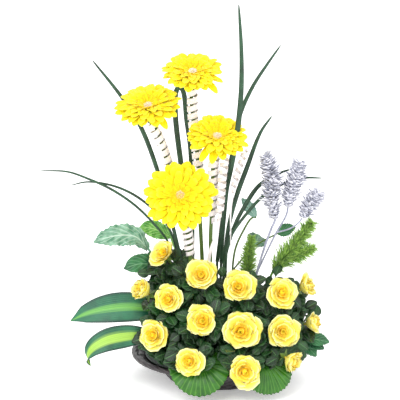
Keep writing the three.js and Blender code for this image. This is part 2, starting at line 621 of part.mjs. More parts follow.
/** Ribbon wound about a curve: it stands off by a radius that draws in at both ends. */
function woundRibbon(path, radius, endRadius, turns, width) {
  const curve = curveThrough(path);
  const surface = (u, v) => {
    const along = curve.getTangentAt(v);
    const first = at([0, 1, 0]).cross(along).normalize();
    const second = along.clone().cross(first);
    const angle = TURN * turns * v;
    const away = endRadius + (radius - endRadius) * Math.min(1, RIBBON.drawIn * Math.min(v, 1 - v));
    return curve.getPointAt(v)
      .addScaledVector(along, (u * width) / 2)
      .addScaledVector(first, away * Math.cos(angle))
      .addScaledVector(second, away * Math.sin(angle));
  };
  return blade(surface, 1, Math.round(turns * RIBBON.stepsPerTurn), RIBBON.thickness);
}

/** Ribbon tail: a flat strip along a curve. */
function ribbonTail(path, width) {
  const curve = curveThrough(path);
  const across = new THREE.Vector3(width / 2, RIBBON.tailTwist, 0);
  const surface = (u, v) => curve.getPointAt(v).addScaledVector(across, u);
  return blade(surface, 1, RIBBON.tailSteps, RIBBON.thickness);
}

/** Ribbon round the stem of a gerbera, between two shares of the stem's length. */
function stemWrap({ stem, wrap: { from, to, turns, width } }) {
  const curve = curveThrough(stem);
  const path = [0, 0.25, 0.5, 0.75, 1].map((share) => curve.getPointAt(from + (to - from) * share).toArray());
  const snug = GERBERA.stemRadius + RIBBON.standOff + RIBBON.thickness;
  return woundRibbon(path, RIBBON.wrapRadius, snug, turns, width);
}

/** Free coil of ribbon with its tail. */
function freeCoil({ path, tail, radius, turns, width }) {
  return fused([woundRibbon(path, radius, RIBBON.coilEnd, turns, width), ribbonTail(tail, width)]);
}

// ---------------------------------------------------------------- roses

/** Frame of a rose at its seat on the calyx. */
function roseFrame({ face, axis, radius, form }) {
  const depth = ROSE.seat * ROSE_FORMS[form].tall * radius;
  const seat = at(face).addScaledVector(at(axis).normalize(), -depth);
  return frameTo(seat.toArray(), axis);
}

/** Rose petal surface: a cup that swells from the seat, curls back at its lip and tucks one side in. */
function roseSurface({ lip, height, curl, base }, radius, tall) {
  return (angle, share, swing) => {
    const swell = 1 - Math.max(0, 1 - share) ** ROSE.swell;
    const lipCurl = curl * radius * share ** ROSE.lipFrom;
    const out = (lip * radius * swell + lipCurl) * (1 + 2 * ROSE.tuck * swing * share);
    const level = base + (tall * radius * height - base) * share ** ROSE.lift - ROSE.lipDrop * lipCurl;
    return new THREE.Vector3(out * Math.cos(angle), out * Math.sin(angle), level);
  };
}

/** Bloom of a rose: cups of petals, each with its foot in the one round it, about a tight middle. */
function roseBloom(rose, seed) {
  const { radius, form } = rose;
  const { tall, layers } = ROSE_FORMS[form];
  const frame = roseFrame(rose);
  const bud = ROSE_BUD.map(([out, up]) => [out * radius, up * tall * radius]);
  const cups = layers.map((layer, index) => {
    const surface = roseSurface(layer, radius, tall);
    return lobedSheet(surface, ROSE_PETAL, layer, TURN * scatter(seed + index), ROSE.thickness, frame);
  });
  return fused([turned(bud, ROSE.budSides, frame), ...cups]);
}

/** Calyx: five sepals that spread under the bloom, over a small round hip. */
function calyx(rose) {
  const { sepals, sepal, notch, drop, depth } = CALYX;
  const rows = [
    () => [ROSE.stemRadius, -depth],
    (k) => (k % 2 ? [notch, -GAP] : [sepal, -drop]),
  ];
  return ringed(rows, 2 * sepals, -depth, -GAP, roseFrame(rose));
}

/** Line of a branch from the fork to the calyx of a rose. */
function branchLine(fork, rose) {
  const frame = roseFrame(rose);
  const end = at([0, 0, -CALYX.depth + 1]).applyMatrix4(frame);
  const near = at([0, 0, -CALYX.depth - CALYX.neck]).applyMatrix4(frame);
  const middle = at(fork).lerp(near, BRANCH_BOW.share).add(at([0, 0, BRANCH_BOW.rise]));
  return [end.toArray(), near.toArray(), middle.toArray(), fork];
}

/** Toothed leaf with a folded middle line, from its foot to its tip along +Y of its frame. */
function leafletSurface(length, halfWidth, sag) {
  const { rows, neck, tooth, fullness, sweep, fold } = LEAFLET;
  return (u, v) => {
    const teeth = 1 + tooth * Math.cos(TURN * (rows / 2) * v);
    const bow = Math.sin(Math.PI * v);
    const outline = neck + teeth * Math.sin(Math.PI * Math.min(1 - neck / 3, v)) ** fullness;
    const along = length * (v + sweep * Math.abs(u) * bow);
    const height = fold * halfWidth * Math.abs(u) * outline - sag * length * v * v;
    return new THREE.Vector3(u * halfWidth * outline, along, height);
  };
}

/** Frame of the n-th try for a leaf at a spot on a stem: it looks out and up, more or less. */
function leafFrame(spot, outward, n) {
  const { swing, climb, dip, sideways, forward, up } = LEAF_LOOK;
  const tip = outward.clone().applyAxisAngle(at([0, 0, 1]), swing * (scatter(n) - 0.5));
  tip.z += climb * (scatter(n + 0.31) - dip);
  tip.normalize();
  const face = at([sideways * (scatter(n + 0.62) - 0.5), forward, up]);
  face.addScaledVector(outward, LEAF_LOOK.outward);
  const x = tip.clone().cross(face).normalize();
  const z = x.clone().cross(tip);
  return new THREE.Matrix4().makeBasis(x, tip, z).setPosition(spot);
}

/** Leaves on a branch: each takes its first try that is clear of every node and leaf made so far. */
function leavesOn(line, count, seed, others) {
  const { shortest, longest, slim, series, tries, rows, thickness, mostSag, firstShare, lastShare } = LEAFLET;
  const curve = curveThrough(line);
  const leaves = [];
  for (let k = 0; k < count; k += 1) {
    const spot = curve.getPointAt(firstShare + ((lastShare - firstShare) * (k + 0.5)) / count);
    const outward = spot.clone().setZ(0).normalize();
    for (let attempt = 0; attempt < tries; attempt += 1) {
      const n = (series + seed) * SEED_STEP + k * (tries + 1) + attempt;
      const length = shortest + (longest - shortest) * scatter(n + 0.77);
      const surface = leafletSurface(length, slim * length, mostSag * scatter(n + 0.9));
      const frame = leafFrame(spot, outward, n);
      const probe = blade(surface, 2, rows, thickness + 2 * GAP, frame);
      const apart = [...others, ...leaves].every((leaf) => leaf.intersect(probe).isEmpty());
      if (apart && isClear(probe)) {
        leaves.push(blade(surface, 2, rows, thickness, frame));
        break;
      }
    }
  }
  return leaves;
}

/** Leaf on a spray, from its foot to its tip, with its face turned up and to the front. */
function sprayLeaf({ foot, tip }, slim) {
  const along = at(tip).sub(at(foot));
  const length = along.length();
  along.normalize();
  const x = along.clone().cross(at([0, -1, 1])).normalize();
  const z = x.clone().cross(along);
  const frame = new THREE.Matrix4().makeBasis(x, along, z).setPosition(at(foot));
  return blade(leafletSurface(length, slim * length, 0), 2, LEAFLET.rows, LEAFLET.thickness, frame);
}

/** Small leafy spray: stems that join at the root, with their leaves. */
function leafySpray({ stems, leaves, more, slim }, seed) {
  const [main, ...side] = stems;
  const grown = [];
  stems.forEach((line, index) => grown.push(...leavesOn(line, more, seed + index, grown)));
  return fused([
    rootedTube(main, STALK_RADIUS.spray, TWIG_SIDES),
    ...side.map((line) => tube(line, STALK_RADIUS.twig, TWIG_SIDES)),
    ...leaves.map((leaf) => sprayLeaf(leaf, slim)),
    ...grown,
  ]);
}

/** Leafy stem that carries its roses. */
function roseStem({ stem, carries }, seed) {
  const fork = stem.at(-1);
  const trunk = [...stem].reverse();
  const branches = carries.map((name) => branchLine(fork, ROSES[name]));
  const solids = [
    rootedTube(trunk, ROSE.trunkRadius, TWIG_SIDES),
    ...carries.map((name) => calyx(ROSES[name])),
    ...branches.map((line) => tube(line, ROSE.stemRadius, TWIG_SIDES)),
  ];
  return { solids, lines: [trunk, ...branches], seed };
}

// ---------------------------------------------------------------- strap leaves

/** Strap leaf: a folded blade that narrows to its tip, its flat side towards the front. */
function strapBlade(line, halfWidth, thickness = STRAP.thickness, tip = STRAP.tip) {
  const curve = curveThrough(line);
  const surface = (u, v) => {
    const tangent = curve.getTangentAt(v);
    const side = at([0, 1, 0]).cross(tangent).normalize();
    const width = halfWidth * Math.min(1, tip + STRAP.widen * v) * (1 - STRAP.narrow * v * v);
    const forward = STRAP.fold * width * (1 - Math.abs(u));
    return curve.getPointAt(v).addScaledVector(side, u * width).sub(at([0, forward, 0]));
  };
  return blade(surface, 2, STRAP.rows, thickness);
}

/** Strap leaf with its root. */
function strapLeaf({ blade: line, root, halfWidth }) {
  return fused([strapBlade(line, halfWidth), rootedTube(root, STALK_RADIUS.strap)]);
}

/** Several strap blades on one root. */
function strapTuft({ blades, root }) {
  return fused([
    ...blades.map(({ line, halfWidth, tip }) => strapBlade(line, halfWidth, STRAP.thickness, tip)),
    rootedTube(root, STALK_RADIUS.tuft),
  ]);
}

// ---------------------------------------------------------------- silver spray and plumes

/** Frame at a share of a curve: x and y across it, z along it. */
function frameOn(curve, share) {
  const along = curve.getTangentAt(share);
  const first = at([0, 1, 0]).cross(along).normalize();
  const second = along.clone().cross(first);
  return new THREE.Matrix4().makeBasis(first, second, along).setPosition(curve.getPointAt(share));
}

/** Brush along a branch: a closed body of slim rings, on which every other side is drawn out to a spike. */
function brush({ line, reach, rings, spikes }) {
  const curve = curveThrough(line);
  const sides = 2 * spikes;
  const positions = [...line[0]];
  for (let ring = 0; ring < rings; ring += 1) {
    const share = (ring + 0.5) / rings;
    const frame = frameOn(curve, share);
    const longest = reach * (BRUSH.ends + (1 - BRUSH.ends) * Math.sin(Math.PI * share) ** BRUSH.bulge);
    for (let side = 0; side < sides; side += 1) {
      const isSpike = (side + ring) % 2 === 0;
      const spike = longest * (1 - BRUSH.uneven * scatter(sides * ring + side));
      const length = isSpike ? spike : BRUSH.core;
      const angle = (TURN * side) / sides;
      const lean = isSpike ? BRUSH.lean * length : 0;
      const point = at([length * Math.cos(angle), length * Math.sin(angle), lean]);
      positions.push(...point.applyMatrix4(frame).toArray());
    }
  }
  positions.push(...line.at(-1));
  const spot = (ring, side) => 1 + ring * sides + (side % sides);
  const last = 1 + rings * sides;
  const corners = [];
  for (let side = 0; side < sides; side += 1) {
    corners.push(0, spot(0, side + 1), spot(0, side), last, spot(rings - 1, side), spot(rings - 1, side + 1));
    for (let ring = 0; ring < rings - 1; ring += 1) {
      const [a, b] = [spot(ring, side), spot(ring, side + 1)];
      const [c, d] = [spot(ring + 1, side + 1), spot(ring + 1, side)];
      corners.push(...((side + ring) % 2 === 0 ? [a, b, d, b, c, d] : [a, b, c, a, c, d]));
    }
  }
  return solidOfArrays(positions, corners);
}

/** Silver spray: branched stem with three scaly heads. */
function silverSpray() {
  const [main, ...branches] = SILVER.stems;
  const [mainRadius, ...radii] = SILVER.radii;
  return fused([
    rootedTube([...main].reverse(), mainRadius),
    ...branches.map((line, index) => tube(line, radii[index], TWIG_SIDES)),
    ...SILVER.heads.map(brush),
  ]);
}

/** Plume: soft needles all along each branch. */
function plume({ root, branches }) {
  return fused([rootedTube([...root].reverse(), STALK_RADIUS.plume), ...branches.map(brush)]);
}

// ---------------------------------------------------------------- broad and round leaves

/** Broad leaf: an arched blade with a sunk middle line and waved edges. */
function broadLeaf({ line, halfWidth, wave, waves, across, root }) {
  const curve = curveThrough(line);
  const lean = at(across).normalize();
  const surface = (u, v) => {
    const tangent = curve.getTangentAt(v);
    const side = lean.clone().addScaledVector(tangent, -lean.dot(tangent)).normalize();
    const face = side.clone().cross(tangent).normalize();
    const width = halfWidth * Math.sin(Math.PI * (BROAD.neck + BROAD.run * v)) ** BROAD.fullness;
    const ripple = wave * u * u * Math.sin(TURN * waves * v) + BROAD.lift * width * Math.abs(u);
    return curve.getPointAt(v).addScaledVector(side, u * width).addScaledVector(face, ripple);
  };
  const leaf = blade(surface, BROAD.columns, BROAD.rows, BROAD.thickness);
  return fused([leaf, rootedTube(root, STALK_RADIUS.broad)]);
}

/** Round leaf: a fan of pleats that runs forward from its stalk and bends down along an arc. */
function roundLeaf({ heart, turn, radius, wide, spread, slopes: [first, last], sag, root }) {
  const frame = new THREE.Matrix4().makeRotationZ(turn).setPosition(at(heart));
  const bend = (last - first) / radius;
  const surface = (u, v) => {
    const out = radius * (FAN.neck + (1 - FAN.neck) * v) * (1 - FAN.scallop * u * u);
    const forward = out * Math.cos(u * spread);
    const lateral = wide * out * Math.sin(u * spread);
    const slope = first + bend * Math.max(0, forward);
    const ahead = Math.min(0, forward) * Math.cos(first) + (Math.sin(slope) - Math.sin(first)) / bend;
    const down = Math.min(0, forward) * Math.sin(first) - (Math.cos(slope) - Math.cos(first)) / bend;
    const fold = FAN.fold * radius * v * Math.cos((Math.PI * FAN.pleats * (u + 1)) / 2);
    const droop = (sag * lateral * lateral) / radius;
    return new THREE.Vector3(lateral, -ahead - fold * Math.sin(slope), fold * Math.cos(slope) - down - droop);
  };
  const fan = blade(surface, FAN.pleats, FAN.rows, FAN.thickness, frame);
  return fused([fan, rootedTube([heart, ...root], STALK_RADIUS.round)]);
}

// ---------------------------------------------------------------- the arrangement

addNode('basket', basket(), 'wicker');
addNode('liner', liner(), 'liner');

Object.entries(GERBERAS).forEach(([letter, gerbera], index) => {
  const seed = 100 * index;
  const isParted = letter === PARTED_GERBERA;
  const head = isParted ? partedHead(gerbera, seed, STRAPS.tall_a) : gerberaHead(gerbera, seed);
  addNode(`gerbera_${letter}_head`, head, 'gerbera');
  addNode(`gerbera_${letter}_stem`, gerberaStem(gerbera), 'stem');
  addNode(`gerbera_${letter}_ribbon`, stemWrap(gerbera), 'ribbon');
});
Object.entries(COILS).forEach(([name, coil]) => addNode(`ribbon_coil_${name}`, freeCoil(coil), 'ribbon'));

Object.entries(ROSES).forEach(([name, rose], index) => {
  addNode(`rose_${name.slice(1)}`, roseBloom(rose, 500 + 20 * index), 'rose');
});

Object.entries(STRAPS).forEach(([name, strap]) => addNode(`strap_${name}`, strapLeaf(strap), 'strap'));
addNode('strap_arched_pair', strapTuft(ARCHED_PAIR), 'strap');
addNode('strap_folded', strapTuft(FOLDED_LEAF), 'strap');
addNode('grass_tuft', strapTuft(GRASS_TUFT), 'strap');

addNode('silver_spray', silverSpray(), 'silver');
Object.entries(PLUMES).forEach(([name, branch]) => addNode(`plume_${name}`, plume(branch), 'plume'));

const LEAF_FINISH = { pale_leaf: 'pale', bright_leaf: 'bright', dark_leaf: 'foliage' };
Object.entries(BROAD_LEAVES).forEach(([name, leaf]) => {
  addNode(name, broadLeaf(leaf), LEAF_FINISH[name] ?? 'striped');
});
Object.entries(ROUND_LEAVES).forEach(([name, leaf]) => addNode(name, roundLeaf(leaf), 'fan'));

const block = foamBlock();
made.push({ name: 'foam', solid: block, box: block.boundingBox() });
Object.entries(LEAFY_SPRAYS).forEach(([name, spray], index) => {
  addNode(name, leafySpray(spray, 90 + 5 * index), name === 'blue_leaf' ? 'pale' : 'foliage');
});

const stems = Object.entries(ROSE_STEMS).map(([name, stem], index) => [name, roseStem(stem, index)]);
stems.forEach(([name, { solids }]) => {
  const bare = fused(solids);
  made.push({ name: `${name} bare`, solid: bare, box: bare.boundingBox() });
});
stems.forEach(([name, { solids, lines, seed }]) => {
  made.splice(made.findIndex((node) => node.name === `${name} bare`), 1);
  const leaves = [];
  lines.forEach((line, index) => leaves.push(...leavesOn(line, index ? 3 : 2, 10 * seed + index, leaves)));
  addNode(`rose_stem_${name}`, fused([...solids, ...leaves]), 'foliage');
});

addNode('foam', block.subtract(wasm.Manifold.union(stemHoles)), 'foam');

export default arrangement;
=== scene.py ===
"""Looks of a flower basket arrangement: gerberas, roses, leaves, sprays and ribbon in a woven basket.

Everything is in metres in the frame of the solid model: +Z up, the front at -Y, and the origin at the
centre of the basket's underside. Places are written in millimetres, as in the part's source.
"""

from __future__ import annotations

import json
import logging
import math
from dataclasses import dataclass, field
from enum import Enum
from functools import partial
from typing import Iterable, Sequence

import bpy
import numpy as np
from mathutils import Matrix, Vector

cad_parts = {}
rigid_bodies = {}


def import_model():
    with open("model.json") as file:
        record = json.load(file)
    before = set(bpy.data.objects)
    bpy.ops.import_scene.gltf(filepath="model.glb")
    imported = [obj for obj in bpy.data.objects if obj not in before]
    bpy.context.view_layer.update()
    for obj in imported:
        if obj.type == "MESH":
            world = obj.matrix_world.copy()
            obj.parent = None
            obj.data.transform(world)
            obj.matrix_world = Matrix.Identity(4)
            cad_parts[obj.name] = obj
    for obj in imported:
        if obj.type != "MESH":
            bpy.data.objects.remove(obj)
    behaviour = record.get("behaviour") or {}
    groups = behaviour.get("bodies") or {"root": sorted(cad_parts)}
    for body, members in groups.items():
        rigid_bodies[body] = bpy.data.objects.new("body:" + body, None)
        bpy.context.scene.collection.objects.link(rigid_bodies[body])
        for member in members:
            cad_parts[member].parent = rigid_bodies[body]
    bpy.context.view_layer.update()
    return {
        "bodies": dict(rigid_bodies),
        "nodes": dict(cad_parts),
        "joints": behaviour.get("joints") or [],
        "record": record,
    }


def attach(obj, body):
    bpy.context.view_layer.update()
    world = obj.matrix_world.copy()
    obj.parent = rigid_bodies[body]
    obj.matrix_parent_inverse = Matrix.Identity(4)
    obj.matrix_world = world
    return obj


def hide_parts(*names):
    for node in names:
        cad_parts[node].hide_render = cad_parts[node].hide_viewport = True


MM = 0.001
TURN = 2 * math.pi
GOLDEN = math.pi * (3 - math.sqrt(5))
BODY = "root"
Place = Sequence[float]
log = logging.getLogger("arrangement")


# ---------------------------------------------------------------- places of the flowers and leaves


@dataclass(frozen=True)
class Wrap:
    """Ribbon wound round a stem between two shares of its length."""

    low: float
    high: float
    turns: float
    width: float


@dataclass(frozen=True)
class GerberaPlace:
    """Where a gerbera stands: its face, the way it faces, its radius, stem and ribbon wrap."""

    face: Place
    axis: Place
    radius: float
    stem: tuple[Place, ...]
    wrap: Wrap


GERBERAS = {
    "a": GerberaPlace((-38, 0, 465), (0.02, -0.43, 0.90), 46,
                      ((-40, 14, 430), (-36, 13, 385), (-30, 12, 330), (-27, 12, 246), (-23, 12, 160),
                       (-20, 12, 42)), Wrap(0.06, 0.34, 9, 9)),
    "b": GerberaPlace((-103, -20, 418), (-0.10, -0.43, 0.90), 49,
                      ((-94, -4, 390), (-78, -1, 340), (-57, 0, 268), (-41, 2, 200), (-33, 2, 130),
                       (-30, 2, 42)), Wrap(0.09, 0.46, 11, 9)),
    "c": GerberaPlace((-2, -25, 373), (0.06, -0.48, 0.87), 47,
                      ((-6, -14, 350), (-8, -10, 305), (-9, -7, 270), (-11, -3, 220), (-11, 0, 150),
                       (-9, 1, 42)), Wrap(0.05, 0.34, 7, 9)),
    "d": GerberaPlace((-56, -60, 295), (-0.02, -0.83, 0.56), 54,
                      ((-55, -47, 290), (-50, -36, 262), (-45, -26, 225), (-41, -20, 185), (-38, -16, 120),
                       (-37, -15, 42)), Wrap(0.16, 0.40, 6, 6.5)),
}


@dataclass(frozen=True)
class CoilPlace:
    """A free ribbon coil: path of its middle, tail, radius, turns, ribbon width and how its tail turns."""

    path: tuple[Place, ...]
    tail: tuple[Place, ...]
    radius: float
    turns: float
    width: float
    swing: float                  # radians by which the tail turns its edge to the front


COILS = {
    "middle": CoilPlace(((9, -20, 357), (9, -20, 337), (6, -20, 313), (4, -21, 288), (1, -22, 252)),
                        ((1, -22, 252), (-3, -24, 226), (-12, -26, 200), (-16, -28, 150), (-14, -28, 81)),
                        6.5, 9, 6, 0.45),
    "right": CoilPlace(((42, -6, 356), (34, -8, 334), (27, -9, 312), (22, -10, 290)),
                       ((22, -10, 290), (19, -15, 262), (19, -22, 225), (18, -27, 150), (15, -28, 81)),
                       4.8, 6, 5, 1.45),
}


class RoseForm(Enum):
    """How far a rose has opened."""

    OPEN = "open"
    BUD = "bud"


ROSE_TALL = {RoseForm.OPEN: 0.92, RoseForm.BUD: 1.75}


@dataclass(frozen=True)
class RosePlace:
    """Where a rose is: its face, the way it faces, its radius and its form."""

    face: Place
    axis: Place
    radius: float
    form: RoseForm = RoseForm.OPEN


ROSES = {
    "r01": RosePlace((-87, -20, 200), (-0.50, -0.50, 0.70), 22),
    "r02": RosePlace((-27, -62, 179), (-0.04, -0.84, 0.54), 26),
    "r03": RosePlace((-76, -75, 144), (-0.25, -0.90, 0.36), 23),
    "r04": RosePlace((-118, -45, 151), (-0.72, -0.35, 0.60), 17, RoseForm.BUD),
    "r05": RosePlace((32, -78, 164), (0.10, -0.85, 0.50), 26),
    "r06": RosePlace((97, -62, 148), (0.25, -0.86, 0.44), 25),
    "r07": RosePlace((139, -10, 145), (0.78, -0.35, 0.52), 16, RoseForm.BUD),
    "r08": RosePlace((-26, -112, 120), (-0.10, -0.94, 0.32), 25),
    "r09": RosePlace((35, -116, 106), (0.06, -0.96, 0.27), 30),
    "r10": RosePlace((99, -88, 95), (0.25, -0.93, 0.26), 26),
    "r11": RosePlace((147, -35, 94), (0.90, -0.34, 0.26), 15, RoseForm.BUD),
    "r12": RosePlace((-98, -88, 89), (-0.35, -0.90, 0.25), 24),
    "r13": RosePlace((-43, -142, 66), (-0.15, -0.96, 0.22), 22),
    "r14": RosePlace((39, -152, 55), (0.10, -0.97, 0.22), 27),
    "r15": RosePlace((114, -105, 52), (0.74, -0.62, -0.28), 16, RoseForm.BUD),
}

# Leafy rose stems, in the order of the part's source: points from the foam to the fork, and the roses.
ROSE_STEMS: dict[str, tuple[tuple[Place, ...], tuple[str, ...]]] = {
    "upper_left": (((-40, -24, 48), (-52, -24, 84), (-66, -22, 124)), ("r01", "r04")),
    "left": (((-34, -34, 48), (-48, -46, 74), (-60, -54, 92)), ("r03", "r12")),
    "middle": (((-14, -32, 48), (-18, -46, 84), (-22, -58, 108)), ("r02", "r08")),
    "front_left": (((-18, -46, 40), (-26, -72, 62), (-34, -100, 70)), ("r13",)),
    "upper_right": (((24, -26, 48), (36, -40, 84), (50, -46, 112)), ("r05", "r06")),
    "front": (((6, -42, 40), (18, -68, 66), (26, -88, 74)), ("r09", "r14")),
    "right": (((46, -18, 48), (70, -20, 82), (92, -20, 100)), ("r07", "r11")),
    "front_right": (((36, -38, 40), (58, -58, 66), (76, -68, 72)), ("r10", "r15")),
}


# Thin shoots that grow from the trunks of three rose stems, to carry leaves where there is no rose.
SHOOTS: dict[str, tuple[tuple[Place, ...], ...]] = {
    "left": (((-48, -46, 74), (-66, -62, 66), (-88, -74, 56)),),
    "middle": (((-18, -46, 84), (0, -44, 118), (9, -34, 164)),),
    "upper_right": (((36, -40, 84), (30, -38, 112), (24, -30, 152)),),
}


@dataclass(frozen=True)
class BladePlace:
    """A blade: its middle line from the tip down, its half width, and the share of it at the tip."""

    line: tuple[Place, ...]
    half: float
    tip: float = 0.12


@dataclass(frozen=True)
class StrapPlace:
    """A strap leaf or a tuft of them: its blades, and the root in the foam."""

    blades: tuple[BladePlace, ...]
    root: tuple[Place, ...]


STRAPS = {
    "strap_tall_a": StrapPlace(
        (BladePlace(((30, -6, 573), (34, -10, 506), (34, -17, 450), (30, -23, 400), (26, -22, 370),
                     (20, -8, 330), (13, 7, 290), (7, 12, 240), (-1, 14, 175)), 4.2),),
        ((-1, 14, 178), (-2, 15, 120), (-2, 15, 44))),
    "strap_tall_b": StrapPlace(
        (BladePlace(((93, 26, 506), (75, 26, 480), (52, 25, 444), (33, 24, 401), (23, 23, 350),
                     (14, 24, 290), (8, 25, 220), (5, 26, 170)), 3.6),),
        ((5, 26, 173), (4, 27, 120), (4, 27, 44))),
    "strap_tall_c": StrapPlace(
        (BladePlace(((80, 8, 402), (66, 8, 382), (58, 8, 365), (45, 8, 328), (28, 6, 280), (16, 3, 232),
                     (9, 2, 175)), 3.8),), ((9, 2, 178), (8, 2, 120), (8, 2, 44))),
    "strap_left_e": StrapPlace(
        (BladePlace(((-187, 26, 483), (-145, 28, 428), (-117, 26, 384), (-93, 18, 323), (-71, 8, 245),
                     (-56, -2, 185)), 3.6),), ((-56, -2, 188), (-51, -4, 120), (-50, -4, 44))),
    "strap_arched_pair": StrapPlace(
        (BladePlace(((110, 24, 317), (88, 23, 309), (62, 18, 293), (42, 10, 266), (25, 0, 235),
                     (13, -8, 198)), 3.4),
         BladePlace(((157, 20, 304), (127, 20, 304), (96, 17, 295), (69, 12, 279), (42, 2, 252),
                     (20, -9, 222), (13, -9, 195)), 2.6)),
        ((13, -8.5, 200), (11, -11, 150), (10, -12, 100), (10, -12, 44))),
    "strap_folded": StrapPlace(
        (BladePlace(((-52, 25, 451), (-62, 24, 438), (-64, 24, 405), (-57, 24, 336), (-46, 25, 260),
                     (-38, 26, 176)), 4.2, 0.8),
         BladePlace(((-62, 25, 448), (-53, 27, 438), (-47, 29, 392), (-41, 30, 345), (-39, 29, 270),
                     (-38, 26, 178)), 4.0, 0.8)), ((-38, 26, 182), (-35, 26, 120), (-34, 26, 44))),
    "grass_tuft": StrapPlace(
        (BladePlace(((-266, 14, 317), (-226, 15, 315), (-193, 16, 303), (-160, 17, 287), (-126, 18, 263),
                     (-98, 18, 235), (-76, 19, 206), (-62, 20, 172)), 2.0),
         BladePlace(((-221, 20, 293), (-197, 20, 298), (-166, 21, 294), (-138, 21, 284), (-110, 21, 266),
                     (-80, 21, 236), (-66, 20, 205), (-61, 20, 170)), 2.0)),
        ((-62, 20, 176), (-57, 20, 120), (-54, 18, 44))),
}

SILVER_STEMS = (
    ((40, -5, 44), (46, -5, 90), (59, -5, 163), (70, -6, 203), (80, -6, 232), (86, -6, 248), (81, -6, 283)),
    ((59, -4, 163), (74, 0, 195), (88, 2, 224), (103, 2, 252), (106, 2, 272)),
    ((88, 2, 224), (108, 2, 230), (122, 2, 240), (130, 2, 254)),
)
SILVER_HEADS = (
    (((86, -6, 246), (80, -6, 283), (80, -6, 311), (71, -6, 345)), 18.0),
    (((105, 2, 262), (110, 2, 290), (117, 2, 312), (122, 2, 333)), 16.0),
    (((126, 2, 246), (134, 2, 262), (143, 2, 274), (151, 2, 286)), 15.0),
)

# Plumes: the root, then each branch's line and the reach of its needles.
PLUMES = {
    "small": (((40, 20, 44), (43, 20, 110), (46, 20, 158)),
              ((((45, 20, 140), (47, 20, 180), (51, 20, 212)), 14.0),)),
    "large": (((54, 10, 44), (68, 14, 120), (86, 19, 164)),
              ((((84, 18, 160), (104, 20, 183), (124, 22, 208), (142, 22, 234)), 18.0),
               (((104, 19, 176), (126, 18, 186), (146, 16, 196)), 14.0))),
}


@dataclass(frozen=True)
class BroadPlace:
    """A broad leaf: its middle line, half width, edge wave, waves, lean of its width, and root."""

    line: tuple[Place, ...]
    half_width: float
    wave: float
    waves: float
    across: Place
    root: tuple[Place, ...]


BROAD_LEAVES = {
    "pale_leaf": BroadPlace(
        ((-106, 22, 192), (-124, 20, 212), (-146, 16, 216), (-168, 12, 213), (-188, 8, 207)), 18, 2.2, 5,
        (0, 0.5, 0.87), ((-106, 22, 194), (-84, 18, 160), (-62, 8, 110), (-58, 6, 50))),
    "bright_leaf": BroadPlace(
        ((-72, 42, 206), (-86, 42, 214), (-102, 42, 220), (-120, 40, 221)), 14, 1.8, 4, (0, 0.4, 0.92),
        ((-72, 42, 208), (-56, 38, 160), (-46, 34, 100), (-44, 33, 46))),
    "dark_leaf": BroadPlace(
        ((-84, 2, 168), (-100, -2, 175), (-120, -7, 177), (-142, -11, 171)), 16, 1.2, 3, (0, 0.5, 0.87),
        ((-84, 2, 170), (-70, -4, 140), (-62, -8, 90), (-60, -8, 48))),
    "striped_upper": BroadPlace(
        ((-70, -26, 100), (-96, -30, 112), (-130, -32, 117), (-166, -32, 114), (-198, -30, 106),
         (-222, -28, 94)), 23, 1.5, 2, (0, 0.45, 0.89), ((-70, -26, 101), (-60, -22, 84), (-48, -16, 50))),
    "striped_lower": BroadPlace(
        ((-92, -52, 72), (-116, -58, 80), (-144, -64, 80), (-170, -68, 74), (-189, -70, 62), (-195, -71, 48),
         (-191, -71, 37)), 18, 1, 2, (0, 0.5, 0.87), ((-92, -52, 73), (-68, -40, 66), (-44, -30, 48))),
}


@dataclass(frozen=True)
class RoundPlace:
    """A round pleated leaf: heart, turn about z, radius, width share, spread, slopes, sag and root."""

    heart: Place
    turn: float
    radius: float
    wide: float
    spread: float
    slopes: tuple[float, float]
    sag: float
    root: tuple[Place, ...]


ROUND_LEAVES = {
    "round_left": RoundPlace((-28, -112, 56), 0, 57, 0.86, 2.3, (0.35, 1.6), 0,
                             ((-28, -108, 58), (-27, -90, 63), (-22, -68, 56), (-18, -46, 46))),
    "round_right": RoundPlace((66, -100, 53), 0.40, 56, 0.80, 1.9, (0.30, 1.6), 0.22,
                              ((65, -96, 54), (58, -82, 56), (44, -62, 52), (30, -44, 46))),
}


@dataclass(frozen=True)
class SprayPlace:
    """A small leafy spray: its stems, its placed leaves (foot, tip), more grown ones, and their width."""

    stems: tuple[tuple[Place, ...], ...]
    leaves: tuple[tuple[Place, Place], ...]
    more: int
    slim: float


LEAFY_SPRAYS = {
    "blue_leaf": SprayPlace(
        (((58, 30, 240), (52, 29, 240), (38, 26, 219), (26, 23, 190), (21, 24, 120), (20, 24, 44)),),
        (((58, 30, 240), (36, 30, 270)),), 0, 0.24),
    "edge_twig": SprayPlace(
        (((131, -30, 69), (112, -24, 72), (84, -12, 66), (56, -8, 48)),
         ((147, -12, 114), (140, -10, 104), (129, -12, 86), (112, -24, 72))),
        (((129, -30, 69), (168, -32, 62)), ((126, -29, 68), (160, -38, 53)),
         ((122, -27, 69), (148, -44, 43))), 0, 0.30),
    "back_spray": SprayPlace(
        (((-8, 92, 84), (-8, 74, 92), (-8, 56, 78), (-8, 44, 44)),
         ((-8, 62, 84), (-44, 74, 86), (-84, 76, 72)),
         ((-8, 62, 84), (34, 74, 86), (76, 76, 72)),
         ((-8, 58, 80), (10, 52, 130), (56, 44, 190), (92, 36, 214))),
        (((90, 36, 213), (118, 33, 224)),), 2, 0.36),
}


# ---------------------------------------------------------------- curves and frames


def scatter(n: np.ndarray | float) -> np.ndarray:
    """Numbers between 0 and 1 of a fixed series, the same as in the part's source."""
    wide = np.sin(np.asarray(n, float) * 12.9898 + 4.1414) * 43758.5453
    return wide - np.floor(wide)


def unit(vectors: np.ndarray) -> np.ndarray:
    """Vectors brought to length 1."""
    return vectors / np.maximum(np.linalg.norm(vectors, axis=-1, keepdims=True), 1e-12)


